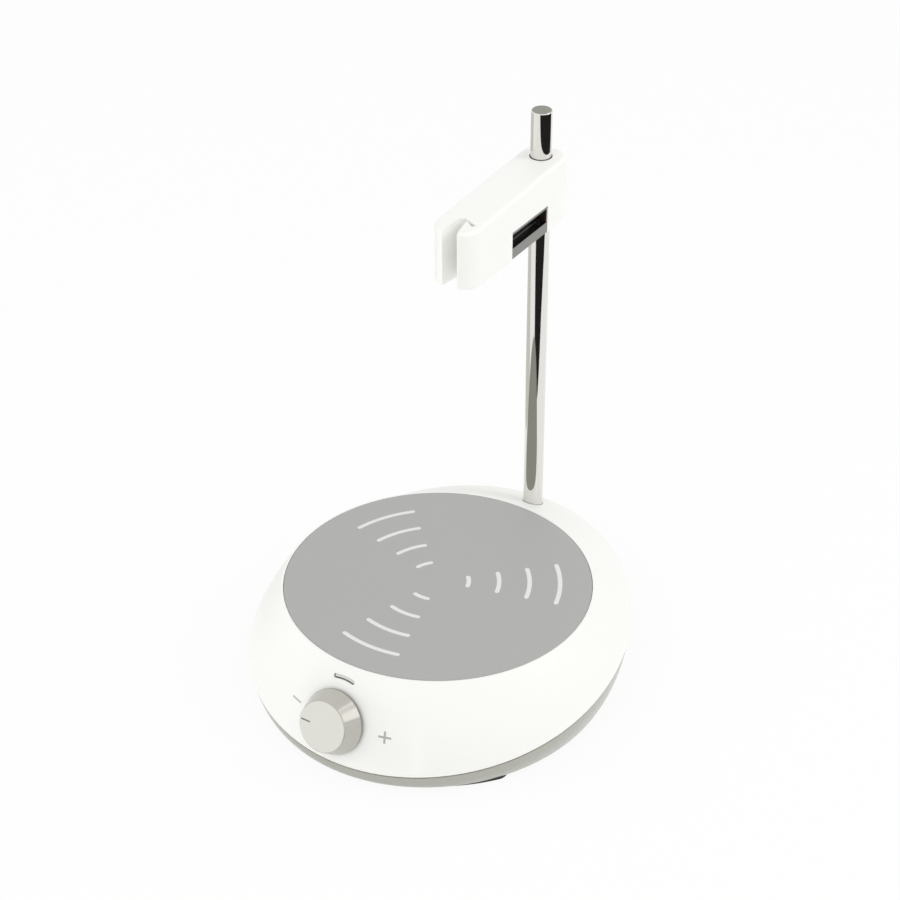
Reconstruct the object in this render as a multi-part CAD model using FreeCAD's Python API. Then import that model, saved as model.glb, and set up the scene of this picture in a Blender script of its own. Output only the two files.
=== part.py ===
import FreeCAD, Part
import math
import os

# Magnetic stirrer with a support rod and a sliding probe holder.
# Millimetres. Origin on the stirring axis at table level, +Z up, speed knob to -Y, support rod to +Y.

Vector = FreeCAD.Vector
UP = Vector(0, 0, 1)

# Vessel plate
PLATE_TOP = 54.0
PLATE_RADIUS = 75.0
PLATE_THICKNESS = 3.0
PLATE_EDGE_CHAMFER = 0.4
PLATE_CLEARANCE = 0.25
PLATE_PROUD = 0.3
GASKET_THICKNESS = 1.0
GASKET_WIDTH = 5.0
GASKET_INSET = 0.5

# Pale arcs let into the plate: three fans of four
ARC_FANS = 3
ARCS_PER_FAN = 4
ARC_FIRST_RADIUS = 15.0
ARC_PITCH = 14.8
ARC_WIDTH = 2.2
ARC_HALF_SPAN = 13.5
ARC_SPAN_GAIN = 1.5
ARC_DEPTH = 0.6
ARC_FAN_TURN = 30.0

# Upper housing: a shell that flares from a round rim down to a sloping parting line
WALL = 2.4
RIM_WIDTH = 0.9
LEDGE_WIDTH = 6.2
LEDGE_THICKNESS = 2.2
FLARE_SIDE = 17.35
FLARE_FRONT = 17.85
FLARE_REAR = 23.35
SEAM_HEIGHT = 26.5
SEAM_RISE = 0.1835
BULGE_SIDE = 0.5
BULGE_FRONT = 2.2
BULGE_REAR = 1.2
HOUSING_STATIONS = (0.0, 0.35, 0.7, 1.0)
WALL_SHIFT = 0.75

# Base pan under the parting line, drawn in towards its flat bottom
PAN_BOTTOM = 2.0
PAN_DRAW_SIDE = 8.0
PAN_DRAW_FRONT = 2.0
PAN_DRAW_REAR = 0.5
PAN_BULGE = 1.2
PAN_INSET = 0.5
SHADOW_GAP = 1.3
NECK_INSET = 1.4
NECK_ROOT = 0.8
NECK_WALL = 1.9

# Rubber feet
FOOT_COUNT = 4
FOOT_INSET = 4.5
FOOT_WIDTH = 13.0
FOOT_HALF_SPAN = 7.0
FOOT_RECESS = 1.2
FOOT_CLEARANCE = 0.05

# Posts and screws that hold the two halves together
POST_COUNT = 4
POST_RADIUS = 4.5
POST_INSET = 2.95
POST_SPLIT = 24.0
SCREW_RADIUS = 1.5
SCREW_CLEARANCE = 0.05
SCREW_HEAD_RADIUS = 2.8
SCREW_HEAD_HEIGHT = 2.0
HEAD_CLEARANCE = 0.1
HOUSING_SCREW_SUNK = 2.0
HOUSING_SCREW_TOP = 38.0

# Speed knob, potentiometer, front board and indicator, on an axis square to the shell
KNOB_STATION = 0.57
KNOB_GAP = 0.5
KNOB_FACE_RADIUS = 12.4
KNOB_SKIRT_RADIUS = 15.9
KNOB_DEPTH = 9.9
KNOB_LIP = 0.9
KNOB_EDGE_ROUND = 0.7
KNOB_WALL = 2.2
KNOB_ROOF_WALL = 1.2
KNOB_FACE_THICKNESS = 3.2
KNOB_HUB_RADIUS = 5.6
POINTER_INNER = 6.7
POINTER_WIDTH = 0.7
POINTER_DEPTH = 0.4
SHAFT_RADIUS = 3.0
SHAFT_CLEARANCE = 0.04
POT_BUSH_RADIUS = 3.9
POT_BUSH_LENGTH = 3.0
POT_SIZE = 16.0
POT_DEPTH = 7.0
POT_CORNER = 1.5
POT_SEAT = 4.2
POT_PAD_RADIUS = 10.0
POT_SHAFT_SEAT = 2.0
NUT_ACROSS_FLATS = 11.0
NUT_HEIGHT = 1.8
NUT_SPOT_DEPTH = 0.4
NUT_SPOT_RADIUS = 7.0
BOARD_THICKNESS = 1.6
BOARD_CORNER = 2.0
FRONT_BOARD_WIDTH = 60.0
FRONT_BOARD_TOP = 22.5
FRONT_BOARD_BOTTOM = 13.0
FRONT_BOARD_SLOPE = 14.0
BOARD_SCREW_SPACING = 48.0
BOARD_POST_RADIUS = 3.0
BOARD_SCREW_RADIUS = 1.2
BOARD_SCREW_HEAD = 2.4
BOARD_SCREW_LENGTH = 5.0
LENS_RADIUS = 21.5
LENS_WIDTH = 2.0
LENS_HALF_SPAN = 12.8
LENS_RECESS = 0.5
LENS_CLEARANCE = 0.1
LED_RADIUS = 1.5
LED_OFFSET = 20.5
LED_HEIGHT = 4.6
LED_FLANGE = 0.3
LED_FLANGE_HEIGHT = 0.8

# Support rod and its socket
ROD_RADIUS = 5.0
ROD_LENGTH = 250.0
ROD_BOTTOM = 18.4
ROD_INSET = 9.7
ROD_CHAMFER = 0.6
ROD_HOLE_CLEARANCE = 0.25
SOCKET_RADIUS = 6.3
SOCKET_TOP = 42.0
SOCKET_CLEARANCE = 0.03
SOCKET_SCREW_RADIUS = 2.5
SOCKET_SCREW_HEAD = 4.2
SOCKET_SCREW_SUNK = 1.0
SOCKET_SCREW_TOP = 15.0
GRUB_RADIUS = 1.5
GRUB_HEIGHT = 34.0
GRUB_BOSS_RADIUS = 3.2
GRUB_BOSS_LENGTH = 2.7

# Stirring drive
MOTOR_RADIUS = 18.0
MOTOR_BOTTOM = 8.0
MOTOR_TOP = 30.0
MOTOR_WALL = 1.2
MOTOR_CAP = 1.5
BRACKET_THICKNESS = 2.0
BRACKET_LENGTH = 68.0
BRACKET_WIDTH = 40.0
BRACKET_CORNER = 6.0
BRACKET_POST_INSET = 7.0
BRACKET_POST_RADIUS = 4.0
BRACKET_SCREW_LENGTH = 8.0
MOTOR_SCREW_X = 11.0
DRIVE_SHAFT_RADIUS = 2.0
DRIVE_SHAFT_TOP = 44.0
DRIVE_SHAFT_HOLE_GAP = 1.0
BEARING_RADIUS = 5.0
BEARING_HEIGHT = 3.5
BEARING_SEAT_WALL = 1.6
STATOR_BORE = 10.0
STATOR_BOTTOM = 14.5
STATOR_TOP = 24.0
STATOR_SLOTS = 6
STATOR_SLOT_RADIUS = 2.0
ROTOR_GAP = 0.5
CARRIER_BOTTOM = 37.0
CARRIER_THICKNESS = 3.0
CARRIER_BAR_WIDTH = 15.0
CARRIER_HUB_RADIUS = 6.0
CARRIER_HUB_DROP = 2.0
MAGNET_RADIUS = 9.0
MAGNET_HEIGHT = 6.5
MAGNET_SPACING = 42.0
MAGNET_RIM = 1.2
MAGNET_RIM_HEIGHT = 2.5
MAGNET_CLEARANCE = 0.05

# Driver board and power inlet at the rear
INLET_Z = 20.0
INLET_DEPTH = 13.0
INLET_BODY_WIDTH = 9.0
INLET_BODY_HEIGHT = 11.0
INLET_BODY_LENGTH = 21.0
INLET_POCKET = 7.0
INLET_COLLAR_RADIUS = 4.0
INLET_BORE_RADIUS = 2.8
INLET_BORE_DEPTH = 10.0
INLET_PIN_RADIUS = 1.0
INLET_PIN_LENGTH = 9.0
INLET_CLEARANCE = 0.1
DRIVER_POST_GAP = 1.41
DRIVER_OFFSET = 4.0
DRIVER_WIDTH = 30.0
DRIVER_LENGTH = 28.0
DRIVER_UNDER_INLET = 8.0
CHIP_LENGTH = 10.0
CHIP_WIDTH = 6.0
CHIP_HEIGHT = 1.8
CHIP_PLACE = 9.0
CAPACITOR_RADIUS = 3.2
CAPACITOR_HEIGHT = 9.0
CAPACITOR_OFFSET = 2.0
CAPACITOR_PLACE = 4.0

# Probe holder on the rod: a hollow arm whose underside rises towards its forked tip
ARM_TURN = 3.0
ARM_TOP = 244.9
ARM_HEIGHT = 31.9
ARM_TIP_HEIGHT = 27.9
ARM_HALF_WIDTH = 11.0
ARM_REACH = 85.9
ARM_REAR = 11.0
ARM_CORNER = 8.5
ARM_TOP_ROUND = 1.8
ARM_WALL = 2.0
ARM_TIP_SOLID = 19.9
SLOT_MOUTH = 7.8
SLOT_END = 4.0
SLOT_DEPTH = 14.0
RELIEF_TURN = 33.0
RELIEF_LENGTH = 8.4
RELIEF_START_WIDTH = 0.8
RELIEF_END_WIDTH = 2.0
WINDOW_START = 13.1
WINDOW_END = 47.5
WINDOW_HEIGHT = 13.9
BUSH_WALL = 1.5
BUSH_LENGTH = 13.0
LOWER_BUSH_LENGTH = 3.0
BUSH_ROD_CLEARANCE = 0.04
BUSH_ARM_CLEARANCE = 0.06
BUSH_BOSS_WALL = 1.3
COVER_THICKNESS = 2.0
COVER_CLEARANCE = 0.15
COVER_POST_RADIUS = 2.6
COVER_POST_GAP = 1.0
COVER_POST_REAR = 19.0
COVER_POST_FRONT_INSET = 7.0
COVER_SCREW_RADIUS = 1.1
COVER_SCREW_LENGTH = 8.0
COVER_HEAD_RADIUS = 2.1
COVER_HEAD_HEIGHT = 1.0

# Release bar in the side window, open to the underside
BAR_TRAVEL = 1.6
BAR_CLEARANCE = 0.3
BAR_FLUSH = 0.1
BAR_BAND = 5.5
BAR_LIP = 1.2
BAR_RIM = 0.9
BAR_LEDGE = 4.6
BAR_BACK = 2.0
BAR_BACK_RISE = 1.0
BAR_NECK = 6.0
BAR_TAIL_THICKNESS = 2.6
BAR_TAIL_WALL = 1.35
BAR_TAIL_OVERLAP = 3.0
BAR_TAIL_CORNER = 3.0
BAR_GRIP_GAP = 0.15
SPRING_RADIUS = 2.6
SPRING_WIRE = 0.35
SPRING_TURNS = 4
SPRING_WIRE_SIDES = 8
SPRING_PLACE = 30.0
SPRING_GAP = 0.05
SPRING_LIFT = 1.2

# How far cutting forms run past what they cut, and how closely edges are picked out
PAST = 1.0
BEYOND = 60.0
PICK = 0.01

# Worked-out places
RIM_HEIGHT = PLATE_TOP - PLATE_PROUD
RECESS_RADIUS = PLATE_RADIUS + PLATE_CLEARANCE
RIM_RADIUS = RECESS_RADIUS + RIM_WIDTH
PLATE_BOTTOM = PLATE_TOP - PLATE_THICKNESS
LEDGE_TOP = PLATE_BOTTOM - GASKET_THICKNESS
LEDGE_BOTTOM = LEDGE_TOP - LEDGE_THICKNESS
LEDGE_RADIUS = RECESS_RADIUS - LEDGE_WIDTH
SEAM_HALF_WIDTH = RIM_RADIUS + FLARE_SIDE
SEAM_FRONT = RIM_RADIUS + FLARE_FRONT
SEAM_REAR = RIM_RADIUS + FLARE_REAR
PAN_HALF_WIDTH = SEAM_HALF_WIDTH - PAN_DRAW_SIDE
PAN_FRONT = SEAM_FRONT - PAN_DRAW_FRONT
PAN_REAR = SEAM_REAR - PAN_DRAW_REAR
PAN_FLOOR = PAN_BOTTOM + WALL
FOOT_RADIUS = PAN_HALF_WIDTH - FOOT_INSET
POST_CIRCLE = LEDGE_RADIUS + POST_INSET
ROD_Y = SEAM_REAR - ROD_INSET
ROD_HOLE_RADIUS = ROD_RADIUS + ROD_HOLE_CLEARANCE
POT_BACK = -POT_SEAT - POT_DEPTH
KNOB_TOP = KNOB_GAP + KNOB_DEPTH
BRACKET_TOP = MOTOR_TOP + BRACKET_THICKNESS
CARRIER_TOP = CARRIER_BOTTOM + CARRIER_THICKNESS
INLET_FACE = PAN_REAR - INLET_DEPTH
INLET_BODY_FRONT = INLET_FACE - INLET_BODY_LENGTH
DRIVER_LEFT = -POST_CIRCLE * math.cos(math.pi / POST_COUNT) + POST_RADIUS + DRIVER_POST_GAP
DRIVER_X = DRIVER_LEFT + DRIVER_WIDTH / 2
INLET_X = DRIVER_X - DRIVER_OFFSET
DRIVER_REAR = INLET_BODY_FRONT + DRIVER_UNDER_INLET
DRIVER_FRONT = DRIVER_REAR - DRIVER_LENGTH
DRIVER_TOP = INLET_Z - INLET_BODY_HEIGHT / 2
ARM_BOTTOM = ARM_TOP - ARM_HEIGHT
ARM_SLOPE = (ARM_HEIGHT - ARM_TIP_HEIGHT) / ARM_REACH
ARM_ROOF = ARM_TOP - ARM_WALL
ARM_CAVITY_HALF = ARM_HALF_WIDTH - ARM_WALL
ARM_CAVITY_REACH = ARM_REACH - ARM_TIP_SOLID
BUSH_RADIUS = ROD_RADIUS + BUSH_ROD_CLEARANCE + BUSH_WALL
BUSH_SEAT_RADIUS = BUSH_RADIUS + BUSH_ARM_CLEARANCE
BUSH_BOSS_RADIUS = BUSH_SEAT_RADIUS + BUSH_BOSS_WALL
LOWER_BUSH_BOTTOM = ARM_BOTTOM + COVER_THICKNESS
LOWER_BUSH_TOP = LOWER_BUSH_BOTTOM + LOWER_BUSH_LENGTH


def cylinder(radius, bottom, top, x=0.0, y=0.0):
    """Upright cylinder between two heights."""
    return Part.makeCylinder(radius, top - bottom, Vector(x, y, bottom))


def tube(outer, inner, bottom, top, x=0.0, y=0.0):
    """Upright tube between two heights."""
    return cylinder(outer, bottom, top, x, y).cut(cylinder(inner, bottom - PAST, top + PAST, x, y))


def block(x0, x1, y0, y1, z0, z1):
    """Box between two corners."""
    return Part.makeBox(x1 - x0, y1 - y0, z1 - z0, Vector(x0, y0, z0))


def prism(corners, bottom, top):
    """Upright solid over a flat outline of (x, y) corners."""
    outline = [Vector(x, y, bottom) for x, y in corners]
    return Part.Face(Part.makePolygon(outline + outline[:1])).extrude(UP * (top - bottom))


def turned(points):
    """Solid turned about Z from a closed outline of (radius, height) points."""
    outline = [Vector(r, 0, z) for r, z in points]
    return Part.Face(Part.makePolygon(outline + outline[:1])).revolve(Vector(), UP, 360)


def mix(a, b, t):
    """Value at fraction t of the way from a to b."""
    return a + (b - a) * t


def polar(radius, angle):
    """Point at a radius and an angle in degrees, at height zero."""
    return Vector(radius * math.cos(math.radians(angle)), radius * math.sin(math.radians(angle)), 0)


def corner_angle(i, count):
    """Angle of one of a ring of pieces, the first midway between +X and +Y for a ring of four."""
    return 360 / count * (i + 0.5)


def arc_bar(radius, width, half_span, middle, bottom, top):
    """Bar bent along an arc about Z, with round ends."""
    inner = radius - width / 2
    outer = radius + width / 2
    first = middle - half_span
    last = middle + half_span
    cap = math.degrees(width / 2 / radius)
    edges = [Part.Arc(polar(outer, first), polar(outer, middle), polar(outer, last)),
             Part.Arc(polar(outer, last), polar(radius, last + cap), polar(inner, last)),
             Part.Arc(polar(inner, last), polar(inner, middle), polar(inner, first)),
             Part.Arc(polar(inner, first), polar(radius, first - cap), polar(outer, first))]
    face = Part.Face(Part.Wire([edge.toShape() for edge in edges]))
    face.translate(UP * bottom)
    return face.extrude(UP * (top - bottom))


def rounded_slab(x0, x1, y0, y1, corner, z0, z1):
    """Box with its four upright edges rounded."""
    slab = block(x0, x1, y0, y1, z0, z1)
    upright = [edge for edge in slab.Edges if abs(edge.tangentAt(edge.FirstParameter).z) > 1 - PICK]
    return slab.makeFillet(corner, upright)


def egg_wire(half_width, front, rear, height, rise):
    """Outline of half an ellipse to the rear and half to the front, on the plane z = height + rise * y."""
    halves = []
    for start, reach in ((0, rear), (180, front)):
        arc = Part.makeCircle(1, Vector(), UP, start, start + 180)
        stretch = FreeCAD.Matrix(half_width, 0, 0, 0, 0, reach, 0, 0, 0, rise * reach, 1, height, 0, 0, 0, 1)
        halves.append(arc.transformGeometry(stretch))
    return Part.Wire(halves)


def egg_loft(sections):
    """Closed solid through a row of egg outlines."""
    return Part.makeLoft([egg_wire(*section) for section in sections], True, False)


def seam_outline(inset, lift):
    """Egg outline along the parting line, drawn in and raised."""
    return (SEAM_HALF_WIDTH - inset, SEAM_FRONT - inset, SEAM_REAR - inset, SEAM_HEIGHT + lift, SEAM_RISE)


def screw(x, y, head_bottom, direction, length, radius=SCREW_RADIUS, head=SCREW_HEAD_RADIUS):
    """Plain screw whose shank starts at the head and runs up (direction 1) or down (direction -1)."""
    head_top = head_bottom + SCREW_HEAD_HEIGHT
    if direction > 0:
        shank = cylinder(radius, head_top, head_top + length, x, y)
    else:
        shank = cylinder(radius, head_bottom - length, head_bottom, x, y)
    return cylinder(head, head_bottom, head_top, x, y).fuse(shank).removeSplitter()


def save(name, shape):
    """Write one node."""
    shape.exportStep("parts/" + name + ".step")


def front_profile(t):
    """Front centre line of the housing: (y, z) at a fraction of the way from rim to seam."""
    y = -mix(RIM_RADIUS, SEAM_FRONT, t) - BULGE_FRONT * 4 * t * (1 - t)
    return y, mix(RIM_HEIGHT, SEAM_HEIGHT, t) + SEAM_RISE * t * y


def panel_placement():
    """Frame on the shell's front: Z out along the knob's axis, X to the right, Y up the slope."""
    step = 0.01
    y, z = front_profile(KNOB_STATION)
    y_above, z_above = front_profile(KNOB_STATION - step)
    lean = math.degrees(math.atan2(y_above - y, z_above - z))
    return FreeCAD.Placement(Vector(0, y, z), FreeCAD.Rotation(Vector(1, 0, 0), 90 - lean))


PANEL = panel_placement()


def on_panel(shape):
    """Move a shape from the panel's frame to the part's frame."""
    return shape.transformed(PANEL.toMatrix())


def on_arm(shape):
    """Move a shape from the arm's frame, rod axis at the origin and arm along -Y, to the part's frame."""
    shape = shape.copy()
    shape.rotate(Vector(), UP, ARM_TURN)
    shape.translate(Vector(0, ROD_Y, 0))
    return shape


def underside(y):
    """Height of the arm's underside at a place along the arm."""
    return ARM_BOTTOM - ARM_SLOPE * y


def arm_layer(low, high):
    """Thick layer between two heights above the arm's sloping underside."""
    layer = block(-BEYOND, BEYOND, -2 * BEYOND, BEYOND, low, high)
    layer.rotate(Vector(), Vector(1, 0, 0), -math.degrees(math.atan(ARM_SLOPE)))
    layer.translate(UP * ARM_BOTTOM)
    return layer


def arm_block(x0, x1, y0, y1, low, high):
    """Box in the arm's frame between two heights above its sloping underside."""
    return block(x0, x1, y0, y1, ARM_BOTTOM - BEYOND, ARM_TOP + BEYOND).common(arm_layer(low, high))


def housing_loft(inset, drop):
    """Outer form of the upper housing, drawn in and lowered for its inner face."""
    sections = []
    for t in HOUSING_STATIONS:
        swell = 4 * t * (1 - t)
        sections.append((mix(RIM_RADIUS, SEAM_HALF_WIDTH, t) + BULGE_SIDE * swell - inset,
                         mix(RIM_RADIUS, SEAM_FRONT, t) + BULGE_FRONT * swell - inset,
                         mix(RIM_RADIUS, SEAM_REAR, t) + BULGE_REAR * swell - inset,
                         mix(RIM_HEIGHT, SEAM_HEIGHT, t) - drop,
                         SEAM_RISE * t))
    return egg_loft(sections)


HOUSING_FORM = housing_loft(0.0, 0.0)
HOUSING_INSIDE = housing_loft(WALL * WALL_SHIFT, WALL * WALL_SHIFT)


def pan_loft(inset, lift, top_drop):
    """Outer form of the base pan from the parting line to its flat bottom, or its inner form."""
    sections = []
    for t in (0.0, 0.5, 1.0):
        swell = PAN_BULGE * 4 * t * (1 - t)
        sections.append((mix(SEAM_HALF_WIDTH - PAN_INSET, PAN_HALF_WIDTH, t) + swell - inset,
                         mix(SEAM_FRONT - PAN_INSET, PAN_FRONT, t) + swell / 2 - inset,
                         mix(SEAM_REAR - PAN_INSET, PAN_REAR, t) + swell / 2 - inset,
                         mix(SEAM_HEIGHT - top_drop, PAN_BOTTOM + lift, t),
                         SEAM_RISE * (1 - t)))
    return egg_loft(sections)


def post_places():
    """Centres of the posts that join the halves."""
    return [polar(POST_CIRCLE, corner_angle(i, POST_COUNT)) for i in range(POST_COUNT)]


def bracket_places():
    """Centres of the four posts under the motor bracket."""
    x = BRACKET_LENGTH / 2 - BRACKET_POST_INSET
    y = BRACKET_WIDTH / 2 - BRACKET_POST_INSET
    return [(side * x, end * y) for side in (-1, 1) for end in (-1, 1)]


def motor_screw_places():
    """Centres of the two screws into the motor's roof."""
    return [(side * MOTOR_SCREW_X, 0) for side in (-1, 1)]


def board_screw_places():
    """Distances of the front board's two screws from the knob's axis."""
    return [side * BOARD_SCREW_SPACING / 2 for side in (-1, 1)]


def driver_places():
    """Centres of the driver board's two front posts and one rear post."""
    inset = 2 * BOARD_POST_RADIUS
    left = DRIVER_X - DRIVER_WIDTH / 2 + inset
    right = DRIVER_X + DRIVER_WIDTH / 2 - inset
    return [(left, DRIVER_FRONT + inset), (right, DRIVER_FRONT + inset), (right, DRIVER_REAR - inset)]


def cover_places():
    """Centres of the arm cover's two screws, in the arm's frame."""
    side = ARM_CAVITY_HALF - COVER_POST_RADIUS - COVER_POST_GAP
    return [(-side, -COVER_POST_REAR), (0.0, -ARM_CAVITY_REACH + COVER_POST_FRONT_INSET)]


def lens_bar(margin, bottom, top):
    """Indicator's bent bar above the knob, in the panel's frame."""
    return arc_bar(LENS_RADIUS, LENS_WIDTH + 2 * margin, LENS_HALF_SPAN, 90, bottom, top)


def foot_bars(bottom, top, margin=0.0):
    """Kidney-shaped pads round the bottom."""
    width = FOOT_WIDTH + 2 * margin
    angles = [corner_angle(i, FOOT_COUNT) for i in range(FOOT_COUNT)]
    return [arc_bar(FOOT_RADIUS, width, FOOT_HALF_SPAN, angle, bottom, top) for angle in angles]


def upper_housing():
    """Moulded shell with the plate's recess, the knob's seat, the indicator slit and the rod's hole."""
    shell = HOUSING_FORM.cut(HOUSING_INSIDE)
    shell = shell.fuse(tube(RIM_RADIUS + WALL, LEDGE_RADIUS, LEDGE_BOTTOM, LEDGE_TOP).common(HOUSING_FORM))
    for place in post_places():
        shell = shell.fuse(cylinder(POST_RADIUS, POST_SPLIT, LEDGE_TOP - PAST, place.x, place.y))
    pad = cylinder(POT_PAD_RADIUS, -POT_SEAT, 0)
    for x in board_screw_places():
        pad = pad.fuse(cylinder(BOARD_POST_RADIUS, POT_BACK, 0, x))
    shell = shell.fuse(on_panel(pad).common(HOUSING_FORM))
    shell = shell.cut(cylinder(RECESS_RADIUS, LEDGE_TOP, PLATE_TOP + PAST))
    shell = shell.cut(cylinder(LEDGE_RADIUS, LEDGE_BOTTOM - PAST, PLATE_TOP))
    hole = SCREW_RADIUS + SCREW_CLEARANCE
    for place in post_places():
        shell = shell.cut(cylinder(hole, POST_SPLIT - PAST, HOUSING_SCREW_TOP + PAST, place.x, place.y))
    cuts = cylinder(NUT_SPOT_RADIUS, -NUT_SPOT_DEPTH, WALL)
    cuts = cuts.fuse(cylinder(POT_BUSH_RADIUS + SHAFT_CLEARANCE, -POT_SEAT - PAST, WALL))
    hole = BOARD_SCREW_RADIUS + SCREW_CLEARANCE
    for x in board_screw_places():
        cuts = cuts.fuse(cylinder(hole, POT_BACK - PAST, POT_BACK + BOARD_SCREW_LENGTH, x))
    cuts = cuts.fuse(lens_bar(LENS_CLEARANCE, -3 * WALL, WALL))
    shell = shell.cut(on_panel(cuts))
    return shell.cut(cylinder(ROD_HOLE_RADIUS, PAN_FLOOR, PLATE_TOP, 0, ROD_Y)).removeSplitter()


def pan_shell():
    """Tapered flank, flat bottom and the neck that stands inside the upper housing."""
    outer = pan_loft(0.0, 0.0, SHADOW_GAP)
    neck = egg_loft([seam_outline(NECK_INSET, -SHADOW_GAP - NECK_ROOT), seam_outline(NECK_INSET, 0.0)])
    inside = pan_loft(WALL, WALL, SHADOW_GAP)
    mouth = egg_loft([seam_outline(NECK_INSET + NECK_WALL, -SHADOW_GAP - NECK_ROOT / 2),
                      seam_outline(NECK_INSET + NECK_WALL, WALL)])
    shell = outer.fuse(neck).cut(inside).cut(mouth)
    wall = INLET_POCKET + WALL
    pocket = block(INLET_X - wall, INLET_X + wall, INLET_FACE - WALL, INLET_FACE + BEYOND,
                   INLET_Z - wall, INLET_Z + wall)
    return shell.fuse(pocket.common(outer))


def base_pan():
    """Lower tray with its foot recesses, posts and the pocket for the power inlet."""
    pan = pan_shell()
    for place in post_places():
        pan = pan.fuse(cylinder(POST_RADIUS, PAN_BOTTOM, POST_SPLIT, place.x, place.y))
    for x, y in bracket_places():
        pan = pan.fuse(cylinder(BRACKET_POST_RADIUS, PAN_BOTTOM, MOTOR_TOP, x, y))
    for x, y in driver_places():
        pan = pan.fuse(cylinder(BOARD_POST_RADIUS, PAN_BOTTOM, DRIVER_TOP - BOARD_THICKNESS, x, y))
    pan = pan.cut(block(INLET_X - INLET_POCKET, INLET_X + INLET_POCKET, INLET_FACE, INLET_FACE + BEYOND,
                        INLET_Z - INLET_POCKET, INLET_Z + INLET_POCKET))
    pan = pan.cut(Part.makeCylinder(INLET_COLLAR_RADIUS + INLET_CLEARANCE, 3 * WALL,
                                    Vector(INLET_X, INLET_FACE - 2 * WALL, INLET_Z), Vector(0, 1, 0)))
    for foot in foot_bars(PAN_BOTTOM - PAST, PAN_BOTTOM + FOOT_RECESS, FOOT_CLEARANCE):
        pan = pan.cut(foot)
    hole = SCREW_RADIUS + SCREW_CLEARANCE
    head = SCREW_HEAD_RADIUS + HEAD_CLEARANCE
    head_top = PAN_BOTTOM + HOUSING_SCREW_SUNK + SCREW_HEAD_HEIGHT
    for place in post_places():
        pan = pan.cut(cylinder(head, PAN_BOTTOM - PAST, head_top, place.x, place.y))
        pan = pan.cut(cylinder(hole, PAN_BOTTOM, POST_SPLIT + PAST, place.x, place.y))
    for x, y in bracket_places():
        pan = pan.cut(cylinder(hole, BRACKET_TOP - BRACKET_SCREW_LENGTH - PAST, BRACKET_TOP, x, y))
    for x, y in driver_places():
        pan = pan.cut(cylinder(BOARD_SCREW_RADIUS + SCREW_CLEARANCE, PAN_FLOOR + PAST, DRIVER_TOP, x, y))
    head = SOCKET_SCREW_HEAD + HEAD_CLEARANCE
    pan = pan.cut(cylinder(head, PAN_BOTTOM - PAST, PAN_BOTTOM + SOCKET_SCREW_SUNK, 0, ROD_Y))
    hole = SOCKET_SCREW_RADIUS + SCREW_CLEARANCE
    return pan.cut(cylinder(hole, PAN_BOTTOM - PAST, PAN_FLOOR + PAST, 0, ROD_Y)).removeSplitter()


def housing_screws():
    """Screws from below through the pan's posts into the housing's posts."""
    head_bottom = PAN_BOTTOM + HOUSING_SCREW_SUNK
    length = HOUSING_SCREW_TOP - head_bottom - SCREW_HEAD_HEIGHT
    return [screw(place.x, place.y, head_bottom, 1, length) for place in post_places()]


def top_plate():
    """Vessel plate with grooves for its pale arcs."""
    plate = cylinder(PLATE_RADIUS, PLATE_BOTTOM, PLATE_TOP)
    rim = [edge for edge in plate.Edges if abs(edge.BoundBox.ZMin - PLATE_TOP) < PICK and edge.Closed]
    plate = plate.makeChamfer(PLATE_EDGE_CHAMFER, rim)
    return plate.cut(Part.makeCompound(plate_arcs()))


def plate_arcs():
    """Pale inlays: fans of concentric arcs, flush with the plate."""
    arcs = []
    for fan in range(ARC_FANS):
        middle = ARC_FAN_TURN + 360 / ARC_FANS * fan
        for k in range(ARCS_PER_FAN):
            radius = ARC_FIRST_RADIUS + ARC_PITCH * k
            half_span = ARC_HALF_SPAN + (1 - ARC_FIRST_RADIUS / radius) * ARC_SPAN_GAIN
            arcs.append(arc_bar(radius, ARC_WIDTH, half_span, middle, PLATE_TOP - ARC_DEPTH, PLATE_TOP))
    return arcs


def plate_gasket():
    """Flat ring between the plate and the housing's ledge."""
    outer = RECESS_RADIUS - GASKET_INSET
    return tube(outer, outer - GASKET_WIDTH, LEDGE_TOP, PLATE_BOTTOM)


def speed_knob():
    """Cone-shaped knob with a hollow skirt, a hub for the shaft and a groove for its pointer line."""
    form = turned([(0, KNOB_GAP), (KNOB_SKIRT_RADIUS, KNOB_GAP), (KNOB_SKIRT_RADIUS, KNOB_GAP + KNOB_LIP),
                   (KNOB_FACE_RADIUS, KNOB_TOP), (0, KNOB_TOP)])
    top_edges = [edge for edge in form.Edges if edge.BoundBox.ZMin > KNOB_TOP - PICK]
    rim = [edge for edge in top_edges if edge.BoundBox.XLength > PAST]
    form = form.makeFillet(KNOB_EDGE_ROUND, rim)
    roof = KNOB_TOP - KNOB_FACE_THICKNESS
    inner = KNOB_SKIRT_RADIUS - KNOB_WALL
    hollow = turned([(0, KNOB_GAP - PAST), (inner, KNOB_GAP - PAST), (inner, KNOB_GAP + KNOB_LIP),
                     (KNOB_FACE_RADIUS - KNOB_ROOF_WALL, roof), (0, roof)])
    hub = cylinder(KNOB_HUB_RADIUS, NUT_HEIGHT + POT_BUSH_LENGTH, roof)
    knob = form.cut(hollow.cut(hub))
    knob = knob.cut(cylinder(SHAFT_RADIUS, KNOB_GAP, roof))
    return knob.cut(knob_pointer(PAST))


def knob_pointer(above=0.0):
    """Line let into the knob's face, from near its middle to its edge, at nine o'clock."""
    outer = KNOB_FACE_RADIUS - KNOB_EDGE_ROUND
    half = POINTER_WIDTH / 2
    return block(-outer, -POINTER_INNER, -half, half, KNOB_TOP - POINTER_DEPTH, KNOB_TOP + above)


def pot_shaft():
    """Shaft from inside the potentiometer to the knob's hub."""
    return cylinder(SHAFT_RADIUS, POT_BACK + POT_SHAFT_SEAT, KNOB_TOP - KNOB_FACE_THICKNESS)


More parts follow.
